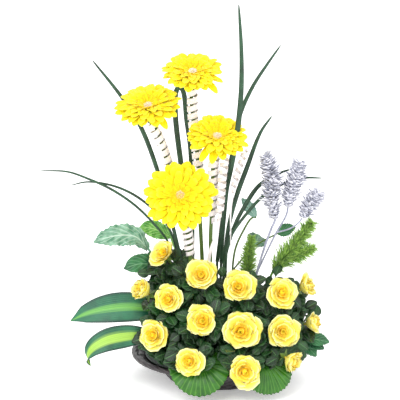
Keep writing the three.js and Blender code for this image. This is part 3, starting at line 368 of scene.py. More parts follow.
class Line:
    """Centripetal Catmull-Rom curve through points, walked by its share of length."""

    DIVISIONS = 200

    def __init__(self, points: Iterable[Place]) -> None:
        """Keeps the points and measures the curve.

        Args:
            points: Points of the curve, in millimetres.
        """
        self.points = np.array([tuple(p) for p in points], float)
        steps = self._at(np.linspace(0, 1, self.DIVISIONS + 1))
        lengths = np.linalg.norm(np.diff(steps, axis=0), axis=1)
        self.lengths = np.concatenate([[0], np.cumsum(lengths)])

    @property
    def length(self) -> float:
        """Length of the curve."""
        return float(self.lengths[-1])

    def _at(self, t: np.ndarray) -> np.ndarray:
        """Points at the curve's own parameter: cubics with knots at the square root of the chord."""
        points = self.points
        padded = np.concatenate([[2 * points[0] - points[1]], points, [2 * points[-1] - points[-2]]])
        place = np.clip(t, 0, 1) * (len(points) - 1)
        first = np.minimum(place.astype(int), len(points) - 2)
        weight = (place - first)[:, None]
        x0, x1, x2, x3 = (padded[first + k] for k in range(4))
        d0, d1, d2 = (
            np.maximum(np.linalg.norm(b - a, axis=1, keepdims=True), 1e-8) ** 0.5
            for a, b in ((x0, x1), (x1, x2), (x2, x3))
        )
        start = d1 * ((x1 - x0) / d0 - (x2 - x0) / (d0 + d1) + (x2 - x1) / d1)
        end = d1 * ((x2 - x1) / d1 - (x3 - x1) / (d1 + d2) + (x3 - x2) / d2)
        square = 3 * (x2 - x1) - 2 * start - end
        cube = 2 * (x1 - x2) + start + end
        return x1 + start * weight + square * weight**2 + cube * weight**3

    def _parameter(self, shares: np.ndarray) -> np.ndarray:
        """Own parameter at shares of the length."""
        grid = np.linspace(0, 1, self.DIVISIONS + 1)
        return np.interp(np.asarray(shares, float) * self.lengths[-1], self.lengths, grid)

    def at(self, shares: np.ndarray | Sequence[float]) -> np.ndarray:
        """Points at shares of the length."""
        return self._at(np.atleast_1d(self._parameter(np.asarray(shares, float))))

    def along(self, shares: np.ndarray | Sequence[float]) -> np.ndarray:
        """Directions at shares of the length."""
        t = np.atleast_1d(self._parameter(np.asarray(shares, float)))
        return unit(self._at(np.minimum(t + 1e-4, 1)) - self._at(np.maximum(t - 1e-4, 0)))


def frame_to(origin: Place, axis: Place) -> tuple[np.ndarray, np.ndarray]:
    """Frame whose z runs along an axis and whose y leans towards +Z.

    Args:
        origin: Origin of the frame.
        axis: Direction of its z.

    Returns:
        The 3 x 3 matrix with the frame's x, y and z as columns, and the origin.
    """
    z = unit(np.array(axis, float))
    lean = np.array((0, 1, 0) if abs(z[2]) > 0.98 else (0, 0, 1), float)
    x = unit(np.cross(lean, z))
    return np.column_stack([x, np.cross(z, x), z]), np.array(origin, float)


def placed(points: np.ndarray, frame: tuple[np.ndarray, np.ndarray]) -> np.ndarray:
    """Points of a frame in the arrangement."""
    return points @ frame[0].T + frame[1]


# ---------------------------------------------------------------- skins: points and faces


@dataclass
class Skin:
    """Points and faces, with a place on the petal or leaf (uv) and a tone for each point."""

    points: np.ndarray
    quads: np.ndarray
    triangles: np.ndarray
    uv: np.ndarray
    tone: np.ndarray

    @staticmethod
    def joined(skins: Iterable[Skin]) -> Skin:
        """One skin of several."""
        parts = list(skins)
        starts = np.concatenate([[0], np.cumsum([len(s.points) for s in parts])])
        return Skin(
            np.concatenate([s.points for s in parts]),
            np.concatenate([s.quads + k for s, k in zip(parts, starts)]).astype(int),
            np.concatenate([s.triangles + k for s, k in zip(parts, starts)]).astype(int),
            np.concatenate([s.uv for s in parts]),
            np.concatenate([s.tone for s in parts]),
        )

    def moved(self, frame: tuple[np.ndarray, np.ndarray]) -> Skin:
        """The skin placed in a frame."""
        return Skin(placed(self.points, frame), self.quads, self.triangles, self.uv, self.tone)


NO_TRIANGLES = np.zeros((0, 3), int)
NO_QUADS = np.zeros((0, 4), int)


def sheets(points: np.ndarray, thickness: float, tone: np.ndarray | float = 0.5) -> Skin:
    """Closed thin sheets: each grid is copied half the thickness to both sides along its normal.

    Args:
        points: Grids of points, (count, rows along, columns across, 3).
        thickness: Thickness of each sheet.
        tone: A tone for each sheet, or for all.

    Returns:
        The sheets, with u across and v along in the uv.
    """
    count, rows, columns, _ = points.shape
    normal = unit(np.cross(np.gradient(points, axis=2), np.gradient(points, axis=1)))
    sides = np.stack([points + normal * thickness / 2, points - normal * thickness / 2], axis=1)
    per = rows * columns
    index = np.arange(per).reshape(rows, columns)
    upper = np.stack([index[:-1, :-1], index[:-1, 1:], index[1:, 1:], index[1:, :-1]], -1).reshape(-1, 4)
    rim = np.concatenate([index[0, :-1], index[:-1, -1], index[-1, :0:-1], index[:0:-1, 0]])
    after = np.roll(rim, -1)
    edge = np.stack([rim + per, after + per, after, rim], -1)
    faces = np.concatenate([upper, upper[:, ::-1] + per, edge])
    quads = (faces[None] + (np.arange(count) * 2 * per)[:, None, None]).reshape(-1, 4)
    v, u = np.meshgrid(np.linspace(0, 1, rows), np.linspace(0, 1, columns), indexing="ij")
    uv = np.tile(np.stack([u, v], -1).reshape(-1, 2), (2 * count, 1))
    tones = np.repeat(np.broadcast_to(np.asarray(tone, float), count), 2 * per)
    return Skin(sides.reshape(-1, 3), quads, NO_TRIANGLES, uv, tones)


def tube(path: np.ndarray, radius: np.ndarray | float, sides: int = 8, tone: float = 0.5) -> Skin:
    """Closed tube: a ring of the radius stands square to the path at each of its points.

    Args:
        path: Points of the middle line, (n, 3).
        radius: Radius at each point, or for all.
        sides: Sides of the tube.
        tone: Tone of the tube.

    Returns:
        The tube with its end caps.
    """
    along = unit(np.gradient(path, axis=0))
    axes = np.eye(3)
    reference = axes[np.argmin(np.abs(along @ axes).max(axis=0))]
    first = unit(np.cross(reference, along))
    second = np.cross(along, first)
    angle = np.linspace(0, TURN, sides, endpoint=False)
    reach = np.broadcast_to(np.asarray(radius, float), len(path))[:, None, None]
    ring = np.cos(angle)[None, :, None] * first[:, None] + np.sin(angle)[None, :, None] * second[:, None]
    points = np.concatenate([(path[:, None] + reach * ring).reshape(-1, 3), path[:1], path[-1:]])
    rows = len(path)
    index = np.arange(rows * sides).reshape(rows, sides)
    right = np.roll(index, -1, axis=1)
    quads = np.stack([index[:-1], right[:-1], right[1:], index[1:]], -1).reshape(-1, 4)
    low, high = rows * sides, rows * sides + 1
    caps = np.concatenate([
        np.stack([np.full(sides, low), right[0], index[0]], -1),
        np.stack([np.full(sides, high), index[-1], right[-1]], -1),
    ])
    v, u = np.meshgrid(np.linspace(0, 1, rows), angle / TURN, indexing="ij")
    uv = np.concatenate([np.stack([u, v], -1).reshape(-1, 2), [[0.5, 0], [0.5, 1]]])
    return Skin(points, quads, caps, uv, np.full(len(points), tone))


def turned(radius: np.ndarray, height: np.ndarray, tone: float = 0.5) -> Skin:
    """Closed body of rings about z: the first and last rings are closed to points on the axis.

    Args:
        radius: Radius of each point, (rings, sides).
        height: Height of each point, (rings, sides).
        tone: Tone of the body.

    Returns:
        The body, with the faces out where the rings go outwards below and inwards above.
    """
    rows, sides = radius.shape
    angle = np.linspace(0, TURN, sides, endpoint=False)[None]
    ring = np.stack([radius * np.cos(angle), radius * np.sin(angle), height], -1).reshape(-1, 3)
    ends = np.array([[0, 0, height[0].mean()], [0, 0, height[-1].mean()]])
    index = np.arange(rows * sides).reshape(rows, sides)
    right = np.roll(index, -1, axis=1)
    quads = np.stack([index[:-1], right[:-1], right[1:], index[1:]], -1).reshape(-1, 4)
    low, high = rows * sides, rows * sides + 1
    caps = np.concatenate([
        np.stack([np.full(sides, low), right[0], index[0]], -1),
        np.stack([np.full(sides, high), index[-1], right[-1]], -1),
    ])
    v, u = np.meshgrid(np.linspace(0, 1, rows), np.linspace(0, 1, sides), indexing="ij")
    uv = np.concatenate([np.stack([u, v], -1).reshape(-1, 2), [[0.5, 0], [0.5, 1]]])
    return Skin(np.concatenate([ring, ends]), quads, caps, uv, np.full(len(ring) + 2, tone))


def spindles(foot: np.ndarray, run: np.ndarray, long: np.ndarray, girth: Sequence[float],
             tone: np.ndarray) -> Skin:
    """Closed three-sided spindles: rings of three points at the foot, the middle and the tip.

    Args:
        foot: Foot of each spindle, (count, 3).
        run: Direction of each.
        long: Length of each.
        girth: Radius at the foot, at the middle and at the tip.
        tone: Tone at the middle of each; the foot is lower by a fifth and the tip higher.

    Returns:
        The spindles.
    """
    count = len(foot)
    steep = np.abs(run[:, 2:]) > 0.9
    side = unit(np.cross(run, np.where(steep, (1.0, 0.0, 0.0), (0.0, 0.0, 1.0))))
    other = np.cross(run, side)
    share = np.array([0.0, 0.5, 1.0])[None, :, None, None]
    turn = (TURN * np.arange(3) / 3)[None, None, :, None]
    around = side[:, None, None] * np.cos(turn) + other[:, None, None] * np.sin(turn)
    reach = run[:, None, None] * share * np.asarray(long, float)[:, None, None, None]
    points = foot[:, None, None] + reach + around * np.array(girth)[None, :, None, None]
    index = np.arange(9).reshape(3, 3)
    right = np.roll(index, -1, axis=1)
    quads = np.stack([index[:-1], right[:-1], right[1:], index[1:]], -1).reshape(-1, 4)
    caps = np.array([[2, 1, 0], [6, 7, 8]])
    shift = 9 * np.arange(count)[:, None, None]
    v, u = np.meshgrid(np.linspace(0, 1, 3), np.linspace(0, 1, 3), indexing="ij")
    uv = np.tile(np.stack([u, v], -1).reshape(-1, 2), (count, 1))
    tones = np.clip(tone[:, None] + np.repeat([-0.2, 0.0, 0.2], 3), 0, 1).ravel()
    return Skin(points.reshape(-1, 3), (quads + shift).reshape(-1, 4), (caps + shift).reshape(-1, 3), uv,
                tones)


# ---------------------------------------------------------------- finishes


def colour(code: str) -> tuple[float, float, float, float]:
    """Linear colour of a six-digit sRGB code."""
    parts = np.array([int(code[k:k + 2], 16) for k in (0, 2, 4)]) / 255
    linear = np.where(parts <= 0.04045, parts / 12.92, ((parts + 0.055) / 1.055) ** 2.4)
    return (*map(float, linear), 1.0)


def per_metre(size: float) -> float:
    """Scale of a pattern in the space of the arrangement, from the size of one grain in millimetres."""
    return 1 / (size * MM)


def add_node(tree: bpy.types.NodeTree, kind: str, inputs: dict | None = None, output: int | str = 0,
             **settings: object) -> bpy.types.NodeSocket | None:
    """Adds a shader node with its settings and links.

    Args:
        tree: The material's tree.
        kind: Type of the node, without its first word.
        inputs: By an input's name or number, a socket that feeds it or the value it is set to.
        output: Name or number of the output that is wanted.
        settings: Values of the node's own properties.

    Returns:
        The output, or nothing where the node has none.
    """
    node = tree.nodes.new("ShaderNode" + kind)
    for name, value in settings.items():
        setattr(node, name, value)
    for name, value in (inputs or {}).items():
        if isinstance(value, bpy.types.NodeSocket):
            tree.links.new(value, node.inputs[name])
        else:
            node.inputs[name].default_value = value
    return node.outputs[output] if len(node.outputs) else None


# Inputs and outputs of a mix node that mixes colours, and of a map range node.
SHARE, FIRST, SECOND, MIXED = 0, 6, 7, 2
VALUE, LOW, HIGH, BOTTOM, TOP = 0, 1, 2, 3, 4


@dataclass(frozen=True)
class Finish:
    """A surface: its name, and the sockets of its shader that are the same all over it."""

    name: str
    sockets: dict[str, object]

    def paint(self, tree: bpy.types.NodeTree) -> dict[str, bpy.types.NodeSocket]:
        """Sockets that feed the shader where the surface varies."""
        raise NotImplementedError

    def material(self) -> bpy.types.Material:
        """Material of the finish."""
        material = bpy.data.materials.new(self.name)
        material.use_nodes = True
        tree = material.node_tree
        tree.nodes.clear()
        shader = add_node(tree, "BsdfPrincipled", {**self.sockets, **self.paint(tree)})
        add_node(tree, "OutputMaterial", {"Surface": shader})
        return material


@dataclass(frozen=True)
class PetalFinish(Finish):
    """Thin velvety petal with lengthwise lines: its throat is deeper and its lip paler."""

    body: str
    lip: str
    throat: str
    inner: str                   # colour of the innermost petals, whose tone is 1
    width: float                 # width of a petal in millimetres
    line: float                  # distance between its lines in millimetres
    line_share: float            # how strongly the lines show
    throat_end: float = 0.5

    def paint(self, tree: bpy.types.NodeTree) -> dict[str, bpy.types.NodeSocket]:
        """Mixes throat, body and lip along the petal, then the inner colour by tone, then the lines."""
        add = partial(add_node, tree)
        place = add("TexCoord", output="UV")
        along = add("SeparateXYZ", {0: place}, 1)
        tone = add("Attribute", output="Fac", attribute_name="tone")
        stretched = add("Mapping", {"Vector": place, "Scale": (self.width / self.line, 1.0, 1.0)})
        own = add("VectorMath", {0: stretched, 1: add("CombineXYZ", {1: tone, 2: tone})})
        lines = add("TexNoise", {"Vector": own, "Scale": 1.0, "Detail": 2.0})
        lip = add("MapRange", {VALUE: along, LOW: 0.62, HIGH: 1.0}, interpolation_type="SMOOTHSTEP")
        blade = add("Mix", {SHARE: lip, FIRST: colour(self.body), SECOND: colour(self.lip)}, MIXED,
                    data_type="RGBA")
        # For the rose, the throat colour and the inner colour are partly its own gold and partly painted
        # shade between the petals.
        root = add("MapRange", {VALUE: along, LOW: 0.0, HIGH: self.throat_end},
                   interpolation_type="SMOOTHSTEP")
        rooted = add("Mix", {SHARE: root, FIRST: colour(self.throat), SECOND: blade}, MIXED,
                     data_type="RGBA")
        depth = add("MapRange", {VALUE: tone, LOW: 0.35, HIGH: 1.0}, interpolation_type="SMOOTHSTEP")
        deep = add("Mix", {SHARE: depth, FIRST: rooted, SECOND: colour(self.inner)}, MIXED,
                   data_type="RGBA")
        shown = add("MapRange", {VALUE: lines, LOW: 0.45, HIGH: 0.75, BOTTOM: 0.0, TOP: self.line_share})
        base = add("Mix", {SHARE: shown, FIRST: deep, SECOND: colour(self.throat)}, MIXED,
                   data_type="RGBA")
        relief = add("Bump", {"Height": lines, "Strength": 0.35, "Distance": 0.3 * MM})
        return {"Base Color": base, "Normal": relief}


class Venation(Enum):
    """How the veins of a leaf run."""

    NET = "side veins off a midrib"
    PARALLEL = "lines from the foot to the tip"
    FAN = "rays from the stalk"


@dataclass(frozen=True)
class LeafFinish(Finish):
    """Leaf skin: two greens in soft patches, veins, and an optional pale band and edge."""

    dark: str
    light: str
    vein: str
    venation: Venation
    width: float                 # width of the leaf in millimetres, or the length of its rim for a fan
    vein_gap: float              # distance between its veins in millimetres
    vein_share: float            # how strongly the veins show
    patch: float                 # size of its patches in millimetres
    band: str = ""
    band_half: float = 0.0       # half width of the band as a share of the leaf's width
    edge: str = ""
    roughness: tuple[float, float] = (0.35, 0.52)

    def paint(self, tree: bpy.types.NodeTree) -> dict[str, bpy.types.NodeSocket]:
        """Mixes the greens by patches and tone, lays the band over them, and then the veins."""
        add = partial(add_node, tree)
        place = add("TexCoord", output="UV")
        across = add("SeparateXYZ", {0: place}, 0)
        along = add("SeparateXYZ", {0: place}, 1)
        tone = add("Attribute", output="Fac", attribute_name="tone")
        patches = add("TexNoise", {"Vector": add("TexCoord", output="Object"),
                                   "Scale": per_metre(self.patch), "Detail": 4.0})
        shade = add("Math", {0: tone, 1: 0.45, 2: patches}, operation="MULTIPLY_ADD")
        greens = add("MapRange", {VALUE: shade, LOW: 0.45, HIGH: 0.98}, interpolation_type="SMOOTHSTEP")
        base = add("Mix", {SHARE: greens, FIRST: colour(self.dark), SECOND: colour(self.light)}, MIXED,
                   data_type="RGBA")
        centred = add("Math", {0: across, 1: 0.5}, operation="SUBTRACT")
        off = add("Math", {0: centred}, operation="ABSOLUTE")
        if self.band:
            fine = add("Mapping", {"Vector": place, "Scale": (self.width / self.vein_gap, 1.2, 1.0)})
            frayed = add("TexNoise", {"Vector": fine, "Scale": 1.0, "Detail": 3.0})
            ragged = add("Math", {0: frayed, 1: 0.26, 2: off}, operation="MULTIPLY_ADD")
            limits = {LOW: self.band_half + 0.06, HIGH: self.band_half + 0.22, BOTTOM: 1.0, TOP: 0.0}
            share = add("MapRange", {VALUE: ragged, **limits}, interpolation_type="SMOOTHSTEP")
            base = add("Mix", {SHARE: share, FIRST: base, SECOND: colour(self.band)}, MIXED,
                       data_type="RGBA")
        count = self.width / self.vein_gap
        if self.venation is Venation.NET:
            run = add("Math", {0: off, 1: -0.8, 2: along}, operation="MULTIPLY_ADD")
        else:
            run = across
        wave = add("Math", {0: add("Math", {0: run, 1: count * TURN}, operation="MULTIPLY")},
                   operation="SINE")
        shown = add("MapRange", {VALUE: wave, LOW: 0.55, HIGH: 1.0, BOTTOM: 0.0, TOP: self.vein_share},
                    interpolation_type="SMOOTHSTEP")
        base = add("Mix", {SHARE: shown, FIRST: base, SECOND: colour(self.vein)}, MIXED,
                   data_type="RGBA")
        relief = add("Bump", {"Height": wave, "Strength": 0.3, "Distance": 0.4 * MM})
        if self.venation is Venation.NET:
            rib = add("MapRange", {VALUE: off, LOW: 0.012, HIGH: 0.045, BOTTOM: 0.8, TOP: 0.0},
                      interpolation_type="SMOOTHSTEP")
            base = add("Mix", {SHARE: rib, FIRST: base, SECOND: colour(self.vein)}, MIXED,
                       data_type="RGBA")
        if self.edge:
            margin = add("MapRange", {VALUE: off, LOW: 0.38, HIGH: 0.49}, interpolation_type="SMOOTHSTEP")
            base = add("Mix", {SHARE: margin, FIRST: base, SECOND: colour(self.edge)}, MIXED,
                       data_type="RGBA")
        smooth, rough = self.roughness
        gloss = add("MapRange", {VALUE: patches, LOW: 0.2, HIGH: 0.8, BOTTOM: smooth, TOP: rough})
        return {"Base Color": base, "Normal": relief, "Roughness": gloss}


@dataclass(frozen=True)
class GrainFinish(Finish):
    """Grained surface, such as stem skin, willow, foam or film: two colours by grain and tone."""

    dark: str
    light: str
    grain: float                 # size of a grain in millimetres
    stretch: tuple[float, float, float] = (1.0, 1.0, 1.0)
    relief: float = 0.2          # depth of the grain in millimetres
    by_tone: float = 0.5         # how far the tone of a small part sets its colour
    roughness: tuple[float, float] = (0.5, 0.65)

    def paint(self, tree: bpy.types.NodeTree) -> dict[str, bpy.types.NodeSocket]:
        """Mixes the two colours by the grain and by the tone of each small part."""
        add = partial(add_node, tree)
        tone = add("Attribute", output="Fac", attribute_name="tone")
        place = add("Mapping", {"Vector": add("TexCoord", output="Object"), "Scale": self.stretch})
        grain = add("TexNoise", {"Vector": place, "Scale": per_metre(self.grain), "Detail": 4.0})
        shade = add("Mix", {0: self.by_tone, 2: grain, 3: tone})
        share = add("MapRange", {VALUE: shade, LOW: 0.2, HIGH: 0.8}, interpolation_type="SMOOTHSTEP")
        base = add("Mix", {SHARE: share, FIRST: colour(self.dark), SECOND: colour(self.light)}, MIXED,
                   data_type="RGBA")
        relief = add("Bump", {"Height": grain, "Strength": 0.6, "Distance": self.relief * MM})
        smooth, rough = self.roughness
        gloss = add("MapRange", {VALUE: grain, LOW: 0.2, HIGH: 0.8, BOTTOM: smooth, TOP: rough})
        return {"Base Color": base, "Normal": relief, "Roughness": gloss}


# Living petals have a skin of tiny domed cells, which sends light out evenly: the eye sees a velvety,
# full colour with hardly a highlight, and light that has come through from behind.
VELVET = {
    "IOR": 1.4, "Roughness": 0.6, "Specular IOR Level": 0.25, "Sheen Weight": 0.15,
    "Subsurface Weight": 0.35, "Subsurface Scale": 2 * MM, "Subsurface Radius": (1.0, 0.8, 0.35),
}
# Leaf skin is a smooth layer of wax over green cells: a broad, soft highlight over a deep colour.
WAXED = {"IOR": 1.45, "Coat Weight": 0.2, "Coat Roughness": 0.3, "Coat IOR": 1.4}
# Dull leaf skin is covered in short down, which breaks the highlight up.
DOWNY = {"IOR": 1.45, "Specular IOR Level": 0.3, "Sheen Weight": 0.2}

# Gerbera ray petal: pure strong yellow with lengthwise lines. The real lines lie 0.4 mm apart, too fine
# to show, so they are drawn 2 mm apart.
GERBERA_PETAL = PetalFinish("velvety_gerbera_petal", VELVET, "F4DE04", "FFF03C", "F2C400", "F6CE00",
                            12.0, 2.0, 0.55)
# Gerbera disc: densely packed cream floret tubes, so it looks like short pale pile.
GERBERA_DISC = GrainFinish("cream_disc_florets", VELVET, "FFE8C4", "FFF8EE", 1.2, relief=0.1)
# Rose petal: pale cream-yellow film that deepens to gold at the roots of the petals and on the inner petals;
# the gold is partly its own colour and partly painted shade where light is trapped between the petals. Its
# fan of veins is 0.5 mm apart, too fine to show, so it is drawn 3 mm apart and faint.
ROSE_PETAL = PetalFinish("velvety_rose_petal", VELVET, "FFEE66", "FFF6AC", "FFDC34", "FFD622",
                         30.0, 3.0, 0.12)
# Flower stem: smooth green skin stretched along the stem, with a soft shine. Its ribs are 1 mm apart.
STEM_SKIN = GrainFinish("smooth_green_stem_skin", WAXED, "3E5C26", "6C8A3C", 1.0, (1.0, 1.0, 0.08),
                        0.15, 0.4, (0.42, 0.58))
# Ribbon: thin cast film with pearl pigment, curled by drawing it over an edge. It is white, smooth and
# bright, with a soft sheen that rolls over each turn. Its flow marks are about 12 mm long.
RIBBON_FILM = GrainFinish("pearly_ribbon_film", {"IOR": 1.5, "Coat Weight": 0.5, "Coat Roughness": 0.2},
                          "DED6D8", "F4EEEE", 12.0, (1.0, 1.0, 1.0), 0.05, 0.3, (0.25, 0.36))
# Strap leaf: a tough waxy blade with lengthwise veins 0.8 mm apart, drawn 1.3 mm apart as the real ones
# are too fine to show. It is dark blue-green with a dull shine.
STRAP_BLADE = LeafFinish("waxy_strap_blade", WAXED, "14321F", "2C5438", "102A1B", Venation.PARALLEL,
                         8.0, 1.3, 0.5, 16.0)
# Rose leaf: leathery waxed leaflet, dark blue-green, with pale veins about 4 mm apart.
ROSE_LEAF = LeafFinish("waxy_rose_leaf", WAXED, "041B07", "154118", "4E8044", Venation.NET, 30.0, 4.2, 0.3,
                       9.0)
# Dark broad leaf: as the rose leaf, but larger and plainer.
DARK_LEAF = LeafFinish("dark_waxy_leaf", WAXED, "14452B", "2E7442", "6C9E74", Venation.NET, 32.0, 5.0, 0.4,
                       12.0)
# Pale leaf: crinkled and downy, grey-green with whitish veins about 5.5 mm apart.
PALE_LEAF = LeafFinish("mottled_pale_leaf", DOWNY, "457E60", "93BAA2", "C4DACC", Venation.NET, 36.0, 5.5,
                       0.4, 8.0, roughness=(0.6, 0.75))
# Bright leaf: young thin leaf, satin, light green with pale veins about 4 mm apart.
BRIGHT_LEAF = LeafFinish("bright_satin_leaf", WAXED, "3A8C38", "7CBC52", "B4DE90", Venation.NET, 28.0, 4.0,
                         0.6, 7.0)
# Bluish leaf: downy, grey-green and dull.
BLUE_LEAF = LeafFinish("bluish_grey_leaf", DOWNY, "5A8A7A", "8FB5A5", "B5D0C0", Venation.NET, 14.0, 3.5, 0.4,
                       6.0, roughness=(0.6, 0.75))
# Striped leaves: waxed blades whose middle band lacks the dark pigment. Its streaks are about 1.5 mm wide
# and run the whole length, so the band frays into the dark margins. The upper one is greener, and the
# lower one has a broad lime band. Their veins lie 1 mm apart, and are drawn 3 mm apart.
STRIPED_UPPER = LeafFinish("green_striped_leaf", WAXED, "0F4434", "27704E", "2F7A50", Venation.PARALLEL,
                           46.0, 3.0, 0.35, 30.0, "6CAE4E", 0.09, "0F382E", (0.28, 0.42))
STRIPED_LOWER = LeafFinish("lime_striped_leaf", WAXED, "0F4434", "27704E", "4C8A50", Venation.PARALLEL,
                           36.0, 3.0, 0.30, 30.0, "9CC64C", 0.19, "0F382E", (0.28, 0.42))
# Round leaf: a pleated satin fan with pale rays, one to each pleat, about 6 mm apart at the rim.
ROUND_LEAF = LeafFinish("pleated_satin_leaf", WAXED, "165008", "317010", "6AA03C", Venation.FAN, 168.0, 6.0,
                        0.35, 14.0)
# Silver scale: small leaves covered in white meal, which looks chalky and silver-grey.
SILVER_SCALE = GrainFinish("mealy_silver_scale", DOWNY, "7F8498", "F0F0F8", 3.0, (1.0, 1.0, 1.0), 0.2, 0.7,
                           (0.6, 0.75))
SILVER_STEM = GrainFinish("grey_spray_stem", DOWNY, "74788A", "B2B4C6", 2.0, (1.0, 1.0, 0.1), 0.2, 0.4,
                          (0.6, 0.75))
# Plume needle: thin soft green needles whose young tips are yellower, so the plume has a pale bloom.
PLUME_NEEDLE = GrainFinish("soft_green_needle", DOWNY, "447E28", "A6CE5E", 8.0, (1.0, 1.0, 1.0), 0.05, 0.75,
                           (0.55, 0.7))
# Willow rods, stained dark and varnished: a hard narrow shine on each round rod. The bark's grain is
# 2 mm wide.
WILLOW = GrainFinish("dark_stained_willow", {"IOR": 1.5, "Coat Weight": 0.3, "Coat Roughness": 0.25},
                     "120C0E", "30242A", 2.0, (1.0, 1.0, 1.0), 0.3, 0.4, (0.4, 0.58))
# Liner: sheet plastic formed over a mould, even and softly shiny, with flow marks about 8 mm wide.
LINER_PLASTIC = GrainFinish("formed_liner_plastic", {"IOR": 1.5}, "13291E", "1F3D30", 8.0,
                            (1.0, 1.0, 1.0), 0.1, 0.1, (0.35, 0.48))
# Floral foam: blown resin foam, matt and crumbly. Its pores are 0.2 mm, too fine to show, and are drawn
# 1 mm wide.
FOAM_CELLS = GrainFinish("open_floral_foam", {"IOR": 1.4, "Specular IOR Level": 0.2}, "143A24", "2C6239",
                         1.0, (1.0, 1.0, 1.0), 0.8, 0.1, (0.88, 0.97))
# Studio floor: matt white paper with fibres 1 mm long, too faint to see. It glows a little, as painted light,
# so the shadow on it stays pale.
GLOWING_FLOOR_PAPER = GrainFinish("glowing_paper_floor", {"IOR": 1.4, "Specular IOR Level": 0.0,
                                               "Emission Color": colour("FFFFFF"),
                                               "Emission Strength": 0.3}, "FAFAFA", "FFFFFF",
                          1.0, (1.0, 1.0, 1.0), 0.01, 0.0, (0.9, 0.95))


# ---------------------------------------------------------------- pieces


def made_mesh(name: str, skin: Skin) -> bpy.types.Mesh:
    """Mesh of a skin given in millimetres, smooth, with its uv and tone."""
    mesh = bpy.data.meshes.new(name)
    mesh.vertices.add(len(skin.points))
    mesh.vertices.foreach_set("co", (skin.points * MM).astype(np.float32).ravel())
    corners = np.concatenate([skin.quads.ravel(), skin.triangles.ravel()]).astype(np.int32)
    sizes = np.concatenate([np.full(len(skin.quads), 4), np.full(len(skin.triangles), 3)])
    starts = np.concatenate([[0], np.cumsum(sizes)[:-1]]).astype(np.int32)
    mesh.loops.add(len(corners))
    mesh.loops.foreach_set("vertex_index", corners)
    mesh.polygons.add(len(sizes))
    mesh.polygons.foreach_set("loop_start", starts)
    mesh.polygons.foreach_set("use_smooth", np.ones(len(sizes), bool))
    mesh.update(calc_edges=True)
    layer = mesh.uv_layers.new(name="UVMap")
    layer.data.foreach_set("uv", skin.uv[corners].astype(np.float32).ravel())
    tone = mesh.attributes.new("tone", "FLOAT", "POINT")
    tone.data.foreach_set("value", skin.tone.astype(np.float32))
    return mesh


@dataclass(frozen=True)
class Studio:
    """Floor, lights and camera."""

    camera_place: tuple[float, float, float] = (-0.027, -3.8726, 1.2765)
    target: tuple[float, float, float] = (-0.027, 0.0, 0.275)
    lens: float = 240.0
    floor_half: float = 40.0
    floor_drop: float = 0.2 * MM
    sky: float = 1.05

    def light(self, name: str, place: Place, size: float, power: float) -> None:
        """Adds a square soft light that looks at the arrangement."""
        data = bpy.data.lights.new(name, "AREA")
        data.size = size
        data.energy = power
        lamp = bpy.data.objects.new(name, data)
        lamp.location = place
        lamp.rotation_euler = (Vector(self.target) - Vector(place)).to_track_quat("-Z", "Y").to_euler()
        bpy.context.scene.collection.objects.link(lamp)

    def build(self) -> None:
        """Makes the camera, the lights, the world and the floor."""
        scene = bpy.context.scene
        data = bpy.data.cameras.new("camera")
        data.lens = self.lens
        camera = bpy.data.objects.new("camera", data)
        camera.location = self.camera_place
        look = Vector(self.target) - Vector(self.camera_place)
        camera.rotation_euler = look.to_track_quat("-Z", "Y").to_euler()
        scene.collection.objects.link(camera)
        scene.camera = camera
        self.light("key_light", (-1.4, -2.2, 2.4), 2.6, 62)
        self.light("fill_light", (2.2, -2.2, 1.4), 2.0, 24)
        self.light("back_light", (0.4, 2.4, 2.4), 2.0, 25)
        scene.view_settings.view_transform = "Standard"
        world = bpy.data.worlds.new("studio")
        world.use_nodes = True
        background = world.node_tree.nodes["Background"]
        background.inputs["Color"].default_value = colour("FFFFFF")
        background.inputs["Strength"].default_value = self.sky
        scene.world = world
        half, level = self.floor_half, -self.floor_drop
        mesh = bpy.data.meshes.new("floor")
        corners = [(-half, -half, level), (half, -half, level), (half, half, level), (-half, half, level)]
        mesh.from_pydata(corners, [], [(0, 1, 2, 3)])
        mesh.materials.append(GLOWING_FLOOR_PAPER.material())
        floor = bpy.data.objects.new("floor", mesh)
        scene.collection.objects.link(floor)


@dataclass
class Workshop:
    """Turns skins into pieces that ride on the frame and stand for its nodes."""

    frame: dict
    finishes: dict[str, bpy.types.Material] = field(default_factory=dict)

    def dressed(self, finish: Finish) -> bpy.types.Material:
        """Material of a finish, made once."""
        if finish.name not in self.finishes:
            self.finishes[finish.name] = finish.material()
        return self.finishes[finish.name]

    def piece(self, name: str, skin: Skin, finish: Finish, slot: str, *nodes: str) -> bpy.types.Object:
        """Adds a piece.

        Args:
            name: Name of the piece.
            skin: Its points and faces, in millimetres.
            finish: Its finish.
            slot: The record's material slot; it is not used.
            nodes: The solid nodes that it stands for.

        Returns:
            The object.
        """
        mesh = made_mesh(name, skin)
        mesh.materials.append(self.dressed(finish))
        made = bpy.data.objects.new(name, mesh)
        bpy.context.scene.collection.objects.link(made)
        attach(made, BODY)
        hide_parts(*nodes)
        log.info("%s: %d faces", name, len(mesh.polygons))
        return made

    def corners(self, node: str) -> np.ndarray:
        """Vertices of a solid node, in millimetres."""
        mesh = self.frame["nodes"][node].data
        flat = np.zeros(3 * len(mesh.vertices), np.float32)
        mesh.vertices.foreach_get("co", flat)
        return flat.reshape(-1, 3) / MM


# ---------------------------------------------------------------- basket, liner and foam


